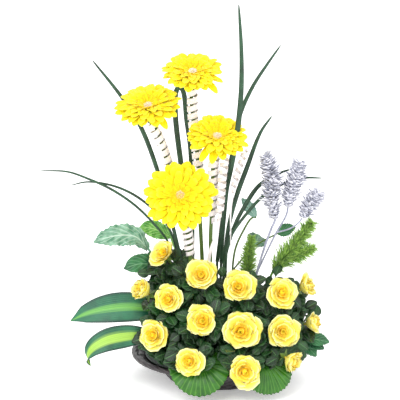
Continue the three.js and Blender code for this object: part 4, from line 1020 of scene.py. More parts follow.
@dataclass
class Basket:
    """Shallow bowl of weavers and stakes with a rolled rim, its liner and its foam."""

    base_radius: float = 77
    rim_radius: float = 129
    height: float = 42
    flare: float = 1.4
    wall: float = 4
    stakes: int = 60
    rows: int = 8
    relief: float = 1.4
    roll: float = 4
    sides: int = 720

    def bowl(self, height: np.ndarray) -> np.ndarray:
        """Outside radius at a height: it flares towards the rim."""
        rise = (np.clip(height, 0, None) / self.height) ** self.flare
        return self.base_radius + (self.rim_radius - self.base_radius) * rise

    def wicker(self) -> Skin:
        """Weave: each weaver is a round ridge that swings out and in over the stakes by turns."""
        angle = np.linspace(0, TURN, self.sides, endpoint=False)[None]
        top = self.height - 2 * self.roll + 1
        level = np.linspace(1.0, top, 12 * self.rows)[:, None]
        row = (level - 1.0) / (top - 1.0) * self.rows
        ridge = np.abs(np.sin(np.pi * row)) ** 0.5
        swing = np.cos(self.stakes / 2 * angle + np.pi * np.floor(np.minimum(row, self.rows - 1e-6)))
        out = self.bowl(level) - 1.2 + self.relief * (0.55 * ridge + 0.75 * swing * ridge)
        under_radius = np.linspace(4, self.base_radius - 1.5, 26)[:, None]
        coil = 0.5 * (1 - np.abs(np.sin(np.pi * under_radius / 5)))
        spokes = 0.35 * (1 + np.cos(24 * angle + np.pi * np.floor(under_radius / 5)))
        under = np.broadcast_to(under_radius, (26, self.sides))
        turn = np.linspace(-2.6, 3.6, 22)[:, None]
        twist = 0.55 * np.cos(5 * turn + 44 * angle)
        middle = self.bowl(np.array(self.height)) - self.roll / 2
        rim = middle + (self.roll - 0.4 + twist) * np.cos(turn)
        rim_level = self.height - self.roll + (self.roll - 0.4 + twist) * np.sin(turn)
        down = np.linspace(33, self.wall, 12)[:, None]
        inside = np.broadcast_to(self.bowl(down) - self.relief - self.wall - 0.4, (12, self.sides))
        flat = np.ones((1, self.sides))
        return turned(
            np.concatenate([under, out, rim, inside, 20 * flat]),
            np.concatenate([np.minimum(0.7, coil * spokes), level * flat, rim_level, down * flat,
                            self.wall * flat]),
        )

    def liner(self) -> Skin:
        """Liner: a thin tray with shallow upright flutes, which follows the inside of the bowl."""
        inset, floor, wall, edge = 8.5, 4.4, 1.4, 70
        level = np.linspace(9, 36, 14)[:, None]
        angle = np.linspace(0, TURN, 360, endpoint=False)[None]
        flute = 0.3 * np.cos(60 * angle) * np.clip((level - 9) / 6, 0, 1)
        flat = np.ones((1, 360))
        tray = self.bowl(level) - inset + flute
        radius = [20 * flat, edge * flat, tray, (tray - wall)[::-1], (edge - wall) * flat, 20 * flat]
        height = [floor * flat, floor * flat, level * flat, (level * flat)[::-1], (floor + wall) * flat,
                  (floor + wall) * flat]
        return turned(np.concatenate(radius), np.concatenate(height))

    def foam(self) -> Skin:
        """Foam: an upright block with a rounded upper edge."""
        turn = np.linspace(0, np.pi / 2, 10)[:, None]
        flat = np.ones((1, 96))
        radius = [10 * flat, 66 * flat, 67 * flat, (56 + 10.5 * np.cos(turn)) * flat, 40 * flat, 8 * flat]
        height = [6.3 * flat, 6.3 * flat, 7.3 * flat, (66 + 12 * np.sin(turn)) * flat, 79.6 * flat,
                  79.8 * flat]
        return turned(np.concatenate(radius), np.concatenate(height))

    def build(self, shop: Workshop) -> None:
        """Adds the basket, the liner and the foam."""
        shop.piece("woven_basket", self.wicker(), WILLOW, "wicker", "basket")
        shop.piece("liner_tray", self.liner(), LINER_PLASTIC, "liner", "liner")
        shop.piece("floral_foam", self.foam(), FOAM_CELLS, "foam", "foam")


# ---------------------------------------------------------------- gerberas and ribbons


@dataclass(frozen=True)
class PetalRow:
    """Row of gerbera petals: how many, how far they reach, where they start, how they rise and droop."""

    count: int
    reach: float
    base: float
    rise: float
    droop: float
    tone: float


@dataclass
class GerberaHead:
    """Head of a gerbera: rows of ridged petals that form a shallow cup round a small sunk disc."""

    seed: int
    place: GerberaPlace
    rows: tuple[PetalRow, ...] = (
        PetalRow(17, 1.05, -2.0, 0.24, 0.08, 0.00),
        PetalRow(17, 1.00, -0.8, 0.28, 0.06, 0.05),
        PetalRow(16, 0.86, 0.6, 0.30, 0.06, 0.15),
        PetalRow(16, 0.66, 2.0, 0.29, 0.04, 0.40),
        PetalRow(15, 0.50, 3.2, 0.24, 0.02, 0.75),
        PetalRow(17, 0.33, 4.6, 0.17, 0.00, 1.00),
    )
    hang_share: float = 0.86      # a petal of the first row whose scatter is above this hangs down

    def petals(self, row: PetalRow, level: int) -> Skin:
        """Row of petals: strips that widen and end round, rise and droop, and are ridged lengthwise.

        Each is as long as its own scatter says, and leans to a side, turns and lifts by further ones.
        """
        radius = self.place.radius
        number = np.arange(row.count)[:, None, None]
        key = self.seed * 97 + level * 31 + number
        v = np.array([0.0, 0.14, 0.30, 0.46, 0.62, 0.76, 0.87, 0.95, 1.0])[None, :, None]
        u = np.linspace(-1, 1, 5)[None, None, :]
        out = radius * row.reach * (0.90 + 0.11 * scatter(key)) * (0.08 + 0.92 * v)
        swell = 0.38 + 0.62 * np.sin(np.clip(v / 0.66, 0, 1) * np.pi / 2) ** 1.2
        tip = np.sqrt(np.clip(1 - (np.clip(v - 0.74, 0, 1) / 0.264) ** 2, 0.02, 1))
        half = radius * (0.060 + 0.075 * row.reach) * swell * tip * (0.88 + 0.24 * scatter(key + 0.5))
        side = u * half + radius * 0.12 * (scatter(key + 0.35) - 0.5) * v**2
        lift = radius * (row.rise * np.sin(1.7 * v) - row.droop * v**2)
        wander = radius * 0.09 * (scatter(key + 0.25) - 0.5) * v**2
        hang = radius * 0.30 * v**2 * (scatter(key + 0.9) > self.hang_share) * (level == 0)
        ridge = radius * (0.022 * u**2 * v - 0.009 * np.cos(3 * np.pi * u) * np.sin(np.pi * v))
        turn = 0.5 * u * half * (scatter(key + 0.75) - 0.5)
        up = row.base + lift + wander - hang + ridge + turn + 0 * out
        angle = TURN * (number + 0.5 * level + 0.5 * (scatter(key + 0.1) - 0.5)) / row.count
        points = np.stack([
            out * np.cos(angle) - side * np.sin(angle),
            out * np.sin(angle) + side * np.cos(angle),
            up,
        ], -1)
        tones = np.clip(row.tone + 0.12 * (scatter(key[:, 0, 0]) - 0.5), 0, 1)
        return sheets(points, 0.5, tones)

    def core(self) -> Skin:
        """Core: the solid seat in which the petals stand, under the disc."""
        flat = np.ones((1, 24))
        radius = np.array([0.5, 5.5, 6.5, 0.16 * self.place.radius, 0.5])[:, None] * flat
        height = np.array([-4.9, -4.8, 4.0, 8.2, 8.6])[:, None] * flat
        return turned(radius, height, 0.8)

    def florets(self) -> Skin:
        """Disc: short upright floret tubes set by the golden angle, the outer ones leaning out."""
        reach = 0.165 * self.place.radius
        number = np.arange(110)
        share = np.sqrt((number + 0.5) / 110)
        angle = GOLDEN * number
        around = np.stack([np.cos(angle), np.sin(angle), 0 * angle], -1)
        foot = around * (reach * share)[:, None] + np.array([0, 0, 1.0]) * (8.6 - 1.0 * share**2)[:, None]
        run = unit(around * (0.5 * share)[:, None] + np.array([0, 0, 1.0]))
        return spindles(foot, run, 2.0 + 0.8 * scatter(number), (0.55, 0.6, 0.35), 0.2 + 0.8 * share)

    def build(self, shop: Workshop, letter: str) -> None:
        """Adds the petals and the disc."""
        frame = frame_to(self.place.face, self.place.axis)
        rows = [self.petals(row, level) for level, row in enumerate(self.rows)]
        petals = Skin.joined([*rows, self.core()]).moved(frame)
        node = f"gerbera_{letter}_head"
        shop.piece(f"gerbera_{letter}_petals", petals, GERBERA_PETAL, "gerbera_petal", node)
        shop.piece(f"gerbera_{letter}_disc", self.florets().moved(frame), GERBERA_DISC, "gerbera_petal",
                   node)


@dataclass
class GerberaStem:
    """Stem of a gerbera with the cup of bracts under its head."""

    place: GerberaPlace
    radius: float = 3.0
    seat: float = 5.3
    depth: float = 10.0

    def build(self, shop: Workshop, letter: str) -> None:
        """Adds the stem: a tube that swells into the cup, with three rows of bracts on the cup."""
        frame = frame_to(self.place.face, self.place.axis)
        low = -self.seat - self.depth
        local = np.array([[0, 0, low + 2], [0, 0, low - 8]])
        line = Line([*placed(local, frame), *self.place.stem])
        shares = np.linspace(0, 1, 60)
        stem = tube(line.at(shares), self.radius * (1 + 0.03 * np.sin(60 * shares)), 14)
        level = np.array([-10.0, -8.5, -6.5, -3.5, -1.0, 0.0])[:, None] - self.seat
        bulge = np.array([3.0, 4.4, 6.4, 7.6, 7.8, 7.0])[:, None]
        flat = np.ones((1, 28))
        cup = turned(bulge * flat, level * flat)
        number = np.arange(42)[:, None, None]
        row = number // 14
        v = np.linspace(0, 1, 6)[None, :, None]
        u = np.linspace(-1, 1, 3)[None, None, :]
        angle = TURN * (number + 0.5 * row) / 14 + u * 0.26 * (1 - 0.8 * v**1.5)
        out = 5.8 + 2.6 * np.sin(v * 1.5) - 0.5 * row
        up = -self.seat - 9.2 + 1.6 * row + 6.4 * v
        points = np.stack([out * np.cos(angle), out * np.sin(angle), up + 0 * angle], -1)
        bracts = sheets(points, 0.5, scatter(number[:, 0, 0]))
        skin = Skin.joined([stem, cup.moved(frame), bracts.moved(frame)])
        shop.piece(f"gerbera_{letter}_stalk", skin, STEM_SKIN, "flower_stem", f"gerbera_{letter}_stem")


@dataclass
class Ribbons:
    """White film ribbon: wraps round the gerbera stems, and free coils with their tails."""

    thickness: float = 0.5
    snug: float = 4.8
    wrap_radius: float = 8.0
    coil_end: float = 1.5
    top: float = 19.0             # how far under the face of the head a wrap starts

    def wound(self, line: Line, radius: float, end_radius: float, turns: float, width: float) -> Skin:
        """Ribbon wound about a line: it turns at the radius, drawn in at both ends."""
        share = np.linspace(0, 1, int(turns * 24))
        along = line.along(share)
        first = unit(np.cross(np.array([0.0, 1.0, 0.0]), along))
        second = np.cross(along, first)
        angle = (TURN * turns * share)[:, None]
        away = end_radius + (radius - end_radius) * np.minimum(1, 8 * np.minimum(share, 1 - share))[:, None]
        outward = first * np.cos(angle) + second * np.sin(angle)
        u = np.linspace(-1, 1, 5)[None, :, None]
        middle = line.at(share) + outward * away
        points = middle[:, None] + along[:, None] * u * width / 2 + outward[:, None] * 0.35 * (u**2 - 0.5)
        return sheets(points[None], self.thickness, 0.5)

    def tail(self, coil: CoilPlace) -> Skin:
        """Tail: a flat strip along its line, which soon turns to one side and back only at its end."""
        line, width = Line(coil.tail), coil.width
        share = np.linspace(0, 1, 40)
        u = np.linspace(-1, 1, 5)[None, :, None]
        swing = (coil.swing * np.sin(np.pi * share) ** 0.4)[:, None]
        across = np.concatenate([np.cos(swing), np.sin(swing), 0 * swing], axis=1)
        points = line.at(share)[:, None] + across[:, None] * u * width / 2
        return sheets(points[None], self.thickness, 0.5)

    def build(self, shop: Workshop) -> None:
        """Adds the wraps and the coils."""
        for letter, place in GERBERAS.items():
            wrap = place.wrap
            stem = Line(place.stem)
            start = placed(np.array([0, 0, -self.top]), frame_to(place.face, place.axis))
            path = Line([start, *stem.at(np.linspace(wrap.low, wrap.high, 5))])
            turns = wrap.turns * path.length / (stem.length * (wrap.high - wrap.low))
            skin = self.wound(path, self.wrap_radius, self.snug, turns, wrap.width)
            shop.piece(f"gerbera_{letter}_wrap", skin, RIBBON_FILM, "ribbon", f"gerbera_{letter}_ribbon")
        for name, coil in COILS.items():
            wound = self.wound(Line(coil.path), coil.radius, self.coil_end, coil.turns, coil.width)
            skin = Skin.joined([wound, self.tail(coil)])
            shop.piece(f"ribbon_curl_{name}", skin, RIBBON_FILM, "ribbon", f"ribbon_coil_{name}")


# ---------------------------------------------------------------- roses


@dataclass(frozen=True)
class PetalRing:
    """Ring of rose petals: how many, half the angle of each, and how its lip stands."""

    count: int
    half_angle: float
    lip: float
    height: float
    curl: float
    frill: float
    tone: float


ROSE_RINGS = {
    RoseForm.OPEN: (
        PetalRing(4, 0.98, 0.92, 0.66, 0.13, 0.030, 0.00),
        PetalRing(4, 0.98, 0.76, 0.76, 0.12, 0.025, 0.25),
        PetalRing(4, 0.98, 0.50, 0.78, 0.08, 0.020, 0.62),
        PetalRing(3, 1.20, 0.33, 0.76, 0.03, 0.015, 0.88),
    ),
    RoseForm.BUD: (
        PetalRing(4, 0.90, 1.02, 0.84, 0.22, 0.050, 0.05),
        PetalRing(4, 0.94, 0.82, 0.94, 0.10, 0.030, 0.30),
        PetalRing(4, 0.98, 0.58, 0.98, 0.04, 0.015, 0.60),
        PetalRing(3, 1.20, 0.36, 0.99, 0.01, 0.010, 0.85),
    ),
}

# How far the heart of a bloom leans to one side, as a share of the bloom's radius.
OFF_CENTRE = {RoseForm.OPEN: 0.12, RoseForm.BUD: 0.02}


@dataclass
class Rose:
    """Bloom of a rose: rings of cupped petals, the outer ones curled back and frilled."""

    seed: int
    place: RosePlace
    seat: float = 0.7
    tuck: float = 0.03

    @property
    def tall(self) -> float:
        """Height of the bloom."""
        return ROSE_TALL[self.place.form] * self.place.radius

    @property
    def lean(self) -> np.ndarray:
        """How far the top of the heart leans to one side, x and y."""
        turn = TURN * scatter(self.seed * 53 + 45)
        share = OFF_CENTRE[self.place.form]
        return share * self.place.radius * np.array([math.cos(turn), math.sin(turn)])

    @property
    def frame(self) -> tuple[np.ndarray, np.ndarray]:
        """Frame of the rose at its seat on the calyx."""
        axis = unit(np.array(self.place.axis, float))
        return frame_to(np.array(self.place.face) - axis * self.seat * self.tall, axis)

    def ring(self, spec: PetalRing, level: int) -> Skin:
        """Ring of petals: a cup whose wall swells from the seat, curls back and waves at its lip.

        A petal is lowest at its sides and has a blunt point in the middle, and the rings lean to one
        side, the inner ones more.
        """
        radius = self.place.radius
        number = np.arange(spec.count)[:, None, None]
        key = self.seed * 53 + level * 17 + number
        v = np.array([0.0, 0.2, 0.4, 0.58, 0.74, 0.88, 1.0])[None, :, None]
        u = np.linspace(-1, 1, 9)[None, None, :]
        grow = 0.80 + 0.28 * scatter(key)
        notch = 0.05 * np.exp(-((u - 0.5 + scatter(key + 0.8)) ** 2) / 0.05) * v
        reach = v * (0.97 - 0.27 * np.abs(u) ** 2.6 - notch + 0.07 * np.exp(-((u / 0.3) ** 2)))
        spread = spec.half_angle * (0.34 + 0.66 * np.sin(np.pi / 2 * np.clip(v * 1.25, 0, 1)))
        turn = TURN * (number + 0.37 * level + 0.25 * (scatter(key + 0.3) - 0.5)) / spec.count
        curl = spec.curl * radius * reach**5
        wave = spec.frill * radius * v**3 * np.sin(3.2 * np.pi * u + TURN * scatter(key + 0.6))
        wall = spec.lip * radius * (1 - (1 - reach) ** 1.9) * grow
        out = (wall + curl) * (1 + 2 * self.tuck * u * v) + wave
        rise = (self.tall * spec.height * grow**0.5 - 1.0) * reach**1.15
        angle = turn + u * spread
        up = 1.0 + rise - 0.8 * curl * (0.7 + 0.3 * np.abs(u)) + 0 * angle
        aside = 0.3 * level * v
        points = np.stack([out * np.cos(angle) + aside * self.lean[0],
                           out * np.sin(angle) + aside * self.lean[1], up], -1)
        tones = np.clip(spec.tone + 0.24 * (scatter(key[:, 0, 0] + 0.9) - 0.5), 0, 1)
        return sheets(points, 0.45, tones)

    def heart(self) -> Skin:
        """Heart: one petal rolled up in a spiral."""
        radius = self.place.radius
        v = np.linspace(0, 1, 9)[:, None]
        u = np.linspace(0, 1, 34)[None, :]
        angle = 1.9 * TURN * u + self.seed
        out = radius * (0.03 + 0.15 * u) * (0.35 + 0.65 * np.sin(np.pi * (0.15 + 0.62 * v)))
        up = 2 + (self.tall * (0.78 - 0.05 * u) - 2) * v
        points = np.stack([out * np.cos(angle) + self.lean[0] * v, out * np.sin(angle) + self.lean[1] * v,
                           up + 0 * u], -1)
        return sheets(points[None], 0.5, 1.0)

    def build(self, shop: Workshop, name: str) -> None:
        """Adds the bloom."""
        rings = [self.ring(spec, level) for level, spec in enumerate(ROSE_RINGS[self.place.form])]
        radius = self.place.radius
        flat = np.ones((1, 20))
        seat = turned(np.array([[0.5], [0.10 * radius], [0.16 * radius], [0.05 * radius]]) * flat,
                      np.array([[0.0], [0.1], [0.35 * radius], [0.42 * radius]]) * flat, 0.9)
        skin = Skin.joined([*rings, self.heart(), seat]).moved(self.frame)
        shop.piece(f"rose_{name[1:]}_bloom", skin, ROSE_PETAL, "rose_petal", f"rose_{name[1:]}")


# ---------------------------------------------------------------- leafy stems


@dataclass(frozen=True)
class LeafRule:
    """Rule by which leaves are tried along a branch, the same as in the part's source."""

    tries: int = 49
    shortest: float = 32
    longest: float = 48
    slim: float = 0.36
    series: int = 7
    match: float = 0.6            # how near the tip of a try lies to a corner of the solid that took it


@dataclass(frozen=True)
class Leaves:
    """Leaves that stand in their frames: foot, three axes, length, half width and sag of each."""

    foot: np.ndarray
    axes: np.ndarray
    length: np.ndarray
    half: np.ndarray
    sag: np.ndarray

    def skin(self, seed: int, small: bool = False) -> Skin:
        """Leaves as one skin, each in its frame, the small ones with fewer faces."""
        grid = small_leaf_grid if small else leaf_grid
        points = np.einsum("nijk,nlk->nijl", grid(self.length, self.half, self.sag), self.axes)
        points += self.foot[:, None, None]
        return sheets(points, 0.5, scatter(seed + np.arange(len(self.foot))))


RULE = LeafRule()

# Room that the foam and the rim of the bowl take, and the room kept clear of leaves about the rim where
# it shows at the left, in millimetres.
FOAM_REACH, FOAM_TOP, RIM_TOP = 71, 82, 43
RIM_RADIUS, RIM_LEVEL, RIM_CLEAR = 127, 38, 7


def leaf_grid(length: np.ndarray, half: np.ndarray, sag: np.ndarray, teeth: int = 9) -> np.ndarray:
    """Toothed leaves in their own frames: widest below the middle, folded along the midrib, tip sagging.

    Args:
        length: Length of each leaf.
        half: Half width of each.
        sag: Sag of each tip as a share of the length.
        teeth: Teeth along each edge.

    Returns:
        Grids of points, (count, rows, columns, 3), with the leaf along +Y.
    """
    long, wide, drop = (np.asarray(x, float)[:, None, None] for x in (length, half, sag))
    v = np.linspace(0, 1, 2 * teeth + 1)[None, :, None]
    u = np.linspace(-1, 1, 7)[None, None, :]
    saw = 1 - 0.13 * np.abs(((v * teeth) % 1) - 0.5) * 2 * np.abs(u) ** 4
    outline = 0.03 + 1.05 * np.sin(np.pi * np.clip(v, 0, 0.985) ** 0.85) ** 0.8
    across = u * wide * outline * saw
    fold = 0.22 * wide * np.abs(u) * outline
    quilt = 0.035 * wide * np.cos(TURN * 6 * (v - 0.35 * np.abs(u))) * np.sin(np.pi * np.abs(u)) * outline
    ripple = 0.05 * wide * np.sin(TURN * 3 * v) * u**2
    up = fold + quilt + ripple - drop * long * v**2
    return np.stack([across, long * (v + 0.04 * np.abs(u) * np.sin(np.pi * v)), up], -1)


def small_leaf_grid(length: np.ndarray, half: np.ndarray, sag: np.ndarray) -> np.ndarray:
    """Small rounded leaves on short stalks: the outline is thin for a fifth, then nearly an oval.

    Args:
        length: Length of each leaf.
        half: Half width of each.
        sag: Sag of each tip as a share of the length.

    Returns:
        Grids of points, (count, rows, columns, 3), with the leaf along +Y.
    """
    long, wide, drop = (np.asarray(x, float)[:, None, None] for x in (length, half, sag))
    v = np.array([0.0, 0.20, 0.34, 0.52, 0.72, 0.89, 1.0])[None, :, None]
    u = np.linspace(-1, 1, 5)[None, None, :]
    oval = np.sin(np.pi * np.clip((v - 0.16) / 0.86, 0, 0.99) ** 0.9) ** 0.65
    outline = np.maximum(0.05, oval)
    up = 0.26 * wide * np.abs(u) * outline - drop * long * v**2
    return np.stack([u * wide * outline, long * (v - 0.05 * np.abs(u) * oval), up], -1)


def grown_leaves(line: Line, count: int, seed: int, corners: np.ndarray) -> Leaves:
    """Leaves that the solid grew along a branch.

    Each leaf of the solid is the first try that lay clear of its neighbours. Here every try is worked
    out again, and the one whose tip is a corner of the solid is the leaf.

    Args:
        line: Line of the branch.
        count: Leaves along it.
        seed: Seed of the branch.
        corners: Vertices of the solid node.

    Returns:
        The leaves.
    """
    spot = np.repeat(line.at(0.14 + 0.80 * (np.arange(count) + 0.5) / count), RULE.tries, axis=0)
    branch = np.repeat(np.arange(count), RULE.tries)
    n = (RULE.series + seed) * 1000 + branch * (RULE.tries + 1) + np.tile(np.arange(RULE.tries), count)
    outward = unit(spot * (1, 1, 0))
    swing = 2.4 * (scatter(n) - 0.5)
    tip = unit(np.stack([
        outward[:, 0] * np.cos(swing) - outward[:, 1] * np.sin(swing),
        outward[:, 0] * np.sin(swing) + outward[:, 1] * np.cos(swing),
        0.9 * (scatter(n + 0.31) - 0.35),
    ], -1))
    look = np.stack([0.3 * (scatter(n + 0.62) - 0.5), 0 * n - 0.55, 0 * n + 0.6], -1) + 0.5 * outward
    x = unit(np.cross(tip, look))
    z = np.cross(x, tip)
    length = RULE.shortest + (RULE.longest - RULE.shortest) * scatter(n + 0.77)
    sag = 0.22 * scatter(n + 0.9)
    ends = spot + tip * length[:, None] - z * (sag * length)[:, None]
    miss = np.linalg.norm(corners[None] - ends[:, None], axis=2).min(axis=1).reshape(count, RULE.tries)
    best = np.argmin(miss, axis=1) + RULE.tries * np.arange(count)
    kept = best[miss.min(axis=1) < RULE.match]
    axes = np.stack([x, tip, z], -1)
    return Leaves(spot[kept], axes[kept], length[kept], RULE.slim * length[kept], sag[kept])


@dataclass
class CompoundLeaves:
    """Compound leaves all round a branch, each with up to five leaflets on a thin stalk."""

    seed: int
    stalks: int = 4               # stalks at each spot of a branch
    stalk_gap: float = 8.0        # millimetres of branch between the spots
    stalk_length: tuple[float, float] = (14.0, 42.0)
    leaflet_length: tuple[float, float] = (15.0, 27.0)
    margin: float = 10.0
    view: tuple[float, float, float] = (0.0, -0.968, 0.25)

    def hiding(self, probe: np.ndarray, guards: np.ndarray) -> np.ndarray:
        """Which rows of points have one between a ball that stays clear and the front.

        Args:
            probe: Points of each leaflet or stalk, (rows, points, 3).
            guards: Centre and radius of each ball that stays clear, (count, 4).

        Returns:
            True for each row that hides a part of a ball.
        """
        away = probe[:, :, None] - guards[:, :3]
        ahead = away @ np.array(self.view)
        beside = np.linalg.norm(away - ahead[..., None] * np.array(self.view), axis=-1)
        return ((ahead > 0) & (beside < guards[:, 3] + 1)).any(axis=(1, 2))

    def free(self, probe: np.ndarray, box: np.ndarray, guards: np.ndarray) -> np.ndarray:
        """Which leaflets have room.

        A leaflet has room where its points lie in the box of the solid with a margin, outside the foam
        and the bowl, and neither in a ball that stays clear nor between one and the front.

        Args:
            probe: Points of each leaflet, (leaflets, points, 3).
            box: Low and high corner of the solid node.
            guards: Centre and radius of each ball that stays clear, (count, 4).

        Returns:
            True for each leaflet that has room.
        """
        inside = ((probe > box[0] - self.margin) & (probe < box[1] + self.margin)).all(axis=(1, 2))
        out = np.hypot(probe[..., 0], probe[..., 1])
        level = probe[..., 2]
        in_holder = ((out < FOAM_REACH) & (level < FOAM_TOP)) | (level < RIM_TOP)
        in_ball = np.linalg.norm(probe[:, :, None] - guards[:, :3], axis=-1) < 0.9 * guards[:, 3] + 2
        blocked = in_holder.any(axis=1) | in_ball.any(axis=(1, 2)) | self.hiding(probe, guards)
        return inside & ~blocked

    def along(self, line: Line, level: int, box: np.ndarray, guards: np.ndarray) -> Skin:
        """Compound leaves along a branch: each a stalk with a leaflet at its end and pairs on its way.

        The stalks stand off all round the branch; of the leaflets those stay that have room and whose
        stalk hides no bloom.

        Args:
            line: Line of the branch.
            level: Number of the branch.
            box: Low and high corner of the solid node.
            guards: Centre and radius of each ball that stays clear, (count, 4).

        Returns:
            The stalks and leaflets.
        """
        count = max(6, int(line.length / self.stalk_gap)) * self.stalks
        spot = line.at(0.04 + 0.94 * np.arange(count) / count)
        n = 3000.0 + 400 * self.seed + 100 * level + 0.37 * np.arange(count)
        swing = TURN * scatter(n)
        run = unit(np.stack([np.cos(swing), np.sin(swing) - 0.25, 1.9 * scatter(n + 0.3) - 0.95], -1))
        look = np.stack([0.9 * (scatter(n + 0.6) - 0.5), 0 * n - 0.7, 0.25 + 0.7 * scatter(n + 0.8)], -1)
        side = unit(np.cross(run, look))
        shortest, longest = self.stalk_length
        long = shortest + (longest - shortest) * scatter(n + 0.15)
        share = np.array([1.0, 0.70, 0.70, 0.40, 0.40])
        turn = np.array([0.0, 1.0, -1.0, 1.0, -1.0])[None, :, None]
        foot = spot[:, None] + run[:, None] * (share * long[:, None])[..., None]
        tip = unit(run[:, None] * (1 - 0.45 * np.abs(turn)) + 0.85 * turn * side[:, None])
        x = unit(np.cross(tip, look[:, None]))
        smallest, largest = self.leaflet_length
        sizes = scatter(n[:, None] + 0.1 + 0.07 * np.arange(5)) * np.array([1.0, 0.9, 0.9, 0.7, 0.7])
        length = smallest + (largest - smallest) * sizes
        foot, tip, x, length = (value.reshape(-1, *value.shape[2:]) for value in (foot, tip, x, length))
        half = (0.36 + 0.10 * scatter(length)) * length
        reach = np.array([0.35, 0.7, 1.0, 0.4, 0.4])[:, None]
        beside = np.array([0.0, 0.0, 0.0, 0.85, -0.85])[:, None]
        probe = foot[:, None] + tip[:, None] * length[:, None, None] * reach
        kept = self.free(probe + x[:, None] * half[:, None, None] * beside, box, guards)
        way = spot[:, None] + run[:, None] * (long[:, None] * np.linspace(0.15, 1, 6))[..., None]
        kept &= np.repeat(~self.hiding(way, guards), 5)
        axes = np.stack([x, tip, np.cross(x, tip)], -1)
        leaflets = Leaves(foot[kept], axes[kept], length[kept], half[kept], 0.2 * scatter(half[kept]))
        carried = kept.reshape(count, 5)
        used = carried.any(axis=1)
        bare = long[used] * np.where(carried, share, 0).max(axis=1)[used]
        stalks = spindles(spot[used], run[used], bare, (0.8, 0.6, 0.4), 0.3 + 0 * bare)
        return Skin.joined([stalks, leaflets.skin(50 * self.seed + level, True)])


@dataclass
class RoseStem:
    """Leafy stem: its trunk and branches, its large and small leaves, and the calyx of each rose."""

    seed: int
    stem: tuple[Place, ...]
    roses: list[Rose]
    radius: float = 1.8
    shoot_radius: float = 1.0

    def branch(self, rose: Rose) -> Line:
        """Line of a branch, from the calyx of a rose to the fork."""
        fork = np.array(self.stem[-1], float)
        end, near = placed(np.array([[0.0, 0, -6], [0, 0, -16]]), rose.frame)
        return Line([end, near, fork + (near - fork) * 0.55 + (0, 0, 3), fork])

    def calyx(self, rose: Rose) -> Skin:
        """Calyx: a small hip under five pointed sepals that spread and curl down."""
        flat = np.ones((1, 16))
        hip = turned(np.array([[1.8], [3.6], [4.3], [3.0]]) * flat,
                     np.array([[-7.0], [-5.4], [-2.6], [-0.5]]) * flat)
        v = np.linspace(0, 1, 8)[None, :, None]
        u = np.linspace(-1, 1, 5)[None, None, :]
        out = 2.5 + 9.8 * v
        side = u * 2.9 * (0.7 + 0.6 * np.sin(np.pi * v)) * (1 - 0.85 * v**2)
        up = -0.9 - 2.9 * v**1.5 - 0.4 * np.abs(u)
        angle = TURN * np.arange(5)[:, None, None] / 5
        points = np.stack([out * np.cos(angle) - side * np.sin(angle),
                           out * np.sin(angle) + side * np.cos(angle), up + 0 * angle], -1)
        return Skin.joined([hip, sheets(points, 0.4, 0.6)]).moved(rose.frame)

    def build(self, shop: Workshop, name: str, guards: np.ndarray) -> None:
        """Adds the stem with its calyxes, its large leaves and its small leaves."""
        node = f"rose_stem_{name}"
        corners = shop.corners(node)
        box = np.stack([corners.min(axis=0), corners.max(axis=0)])
        lines = [Line(self.stem[::-1]), *(self.branch(rose) for rose in self.roses)]
        shoots = [Line(shoot) for shoot in SHOOTS.get(name, ())]
        woody = [tube(lines[0].at(np.linspace(0, 1, 24)), self.radius + 0.4, 10, 0.3)]
        woody += [tube(line.at(np.linspace(0, 1, 30)), self.radius, 10, 0.5) for line in lines[1:]]
        woody += [tube(line.at(np.linspace(0, 1, 30)), self.shoot_radius, 8, 0.5) for line in shoots]
        woody += [self.calyx(rose) for rose in self.roses]
        shop.piece(f"{name}_stalk", Skin.joined(woody), STEM_SKIN, "flower_stem", node)
        large = [grown_leaves(line, 3 if k else 2, 10 * self.seed + k, corners)
                 for k, line in enumerate(lines)]
        log.info("%s: %d large leaves", name, sum(len(found.foot) for found in large))
        skins = [found.skin(100 * self.seed + 10 * k) for k, found in enumerate(large)]
        shop.piece(f"{name}_large_leaves", Skin.joined(skins), ROSE_LEAF, "foliage", node)
        grower = CompoundLeaves(self.seed)
        small = [grower.along(line, k, box, guards) for k, line in enumerate([*lines, *shoots])]
        shop.piece(f"{name}_small_leaves", Skin.joined(small), ROSE_LEAF, "foliage", node)


@dataclass
class LeafySpray:
    """Small spray: thin stems with a few leaves."""

    seed: int
    place: SprayPlace
    finish: LeafFinish
    slot: str

    def set_leaves(self) -> Skin:
        """Leaves with a given foot and tip, their faces turned up and to the front."""
        foot, tip = (np.array([pair[k] for pair in self.place.leaves], float) for k in (0, 1))
        length = np.linalg.norm(tip - foot, axis=1)
        y = unit(tip - foot)
        x = unit(np.cross(y, np.array([0.0, -1.0, 1.0])))
        axes = np.stack([x, y, np.cross(x, y)], -1)
        return Leaves(foot, axes, length, self.place.slim * length, 0 * length).skin(self.seed)

    def build(self, shop: Workshop, name: str, guards: np.ndarray) -> None:
        """Adds the stems and the leaves, and compound leaves where more leaves grow along the stems."""
        lines = [Line(stem) for stem in self.place.stems]
        woody = [tube(line.at(np.linspace(0, 1, 40)), 1.3 if k else 1.6, 8) for k, line in enumerate(lines)]
        shop.piece(f"{name}_twigs", Skin.joined(woody), STEM_SKIN, "flower_stem", name)
        skins = [self.set_leaves()]
        if self.place.more:
            corners = shop.corners(name)
            box = np.stack([corners.min(axis=0), corners.max(axis=0)])
            skins += [grown_leaves(line, self.place.more, self.seed + k, corners).skin(self.seed + k)
                      for k, line in enumerate(lines)]
            grower = CompoundLeaves(self.seed, stalk_gap=6.0)
            skins += [grower.along(line, k, box, guards) for k, line in enumerate(lines[:-1])]
        shop.piece(f"{name}_blades", Skin.joined(skins), self.finish, self.slot, name)


# ---------------------------------------------------------------- straps, sprays, plumes, broad leaves


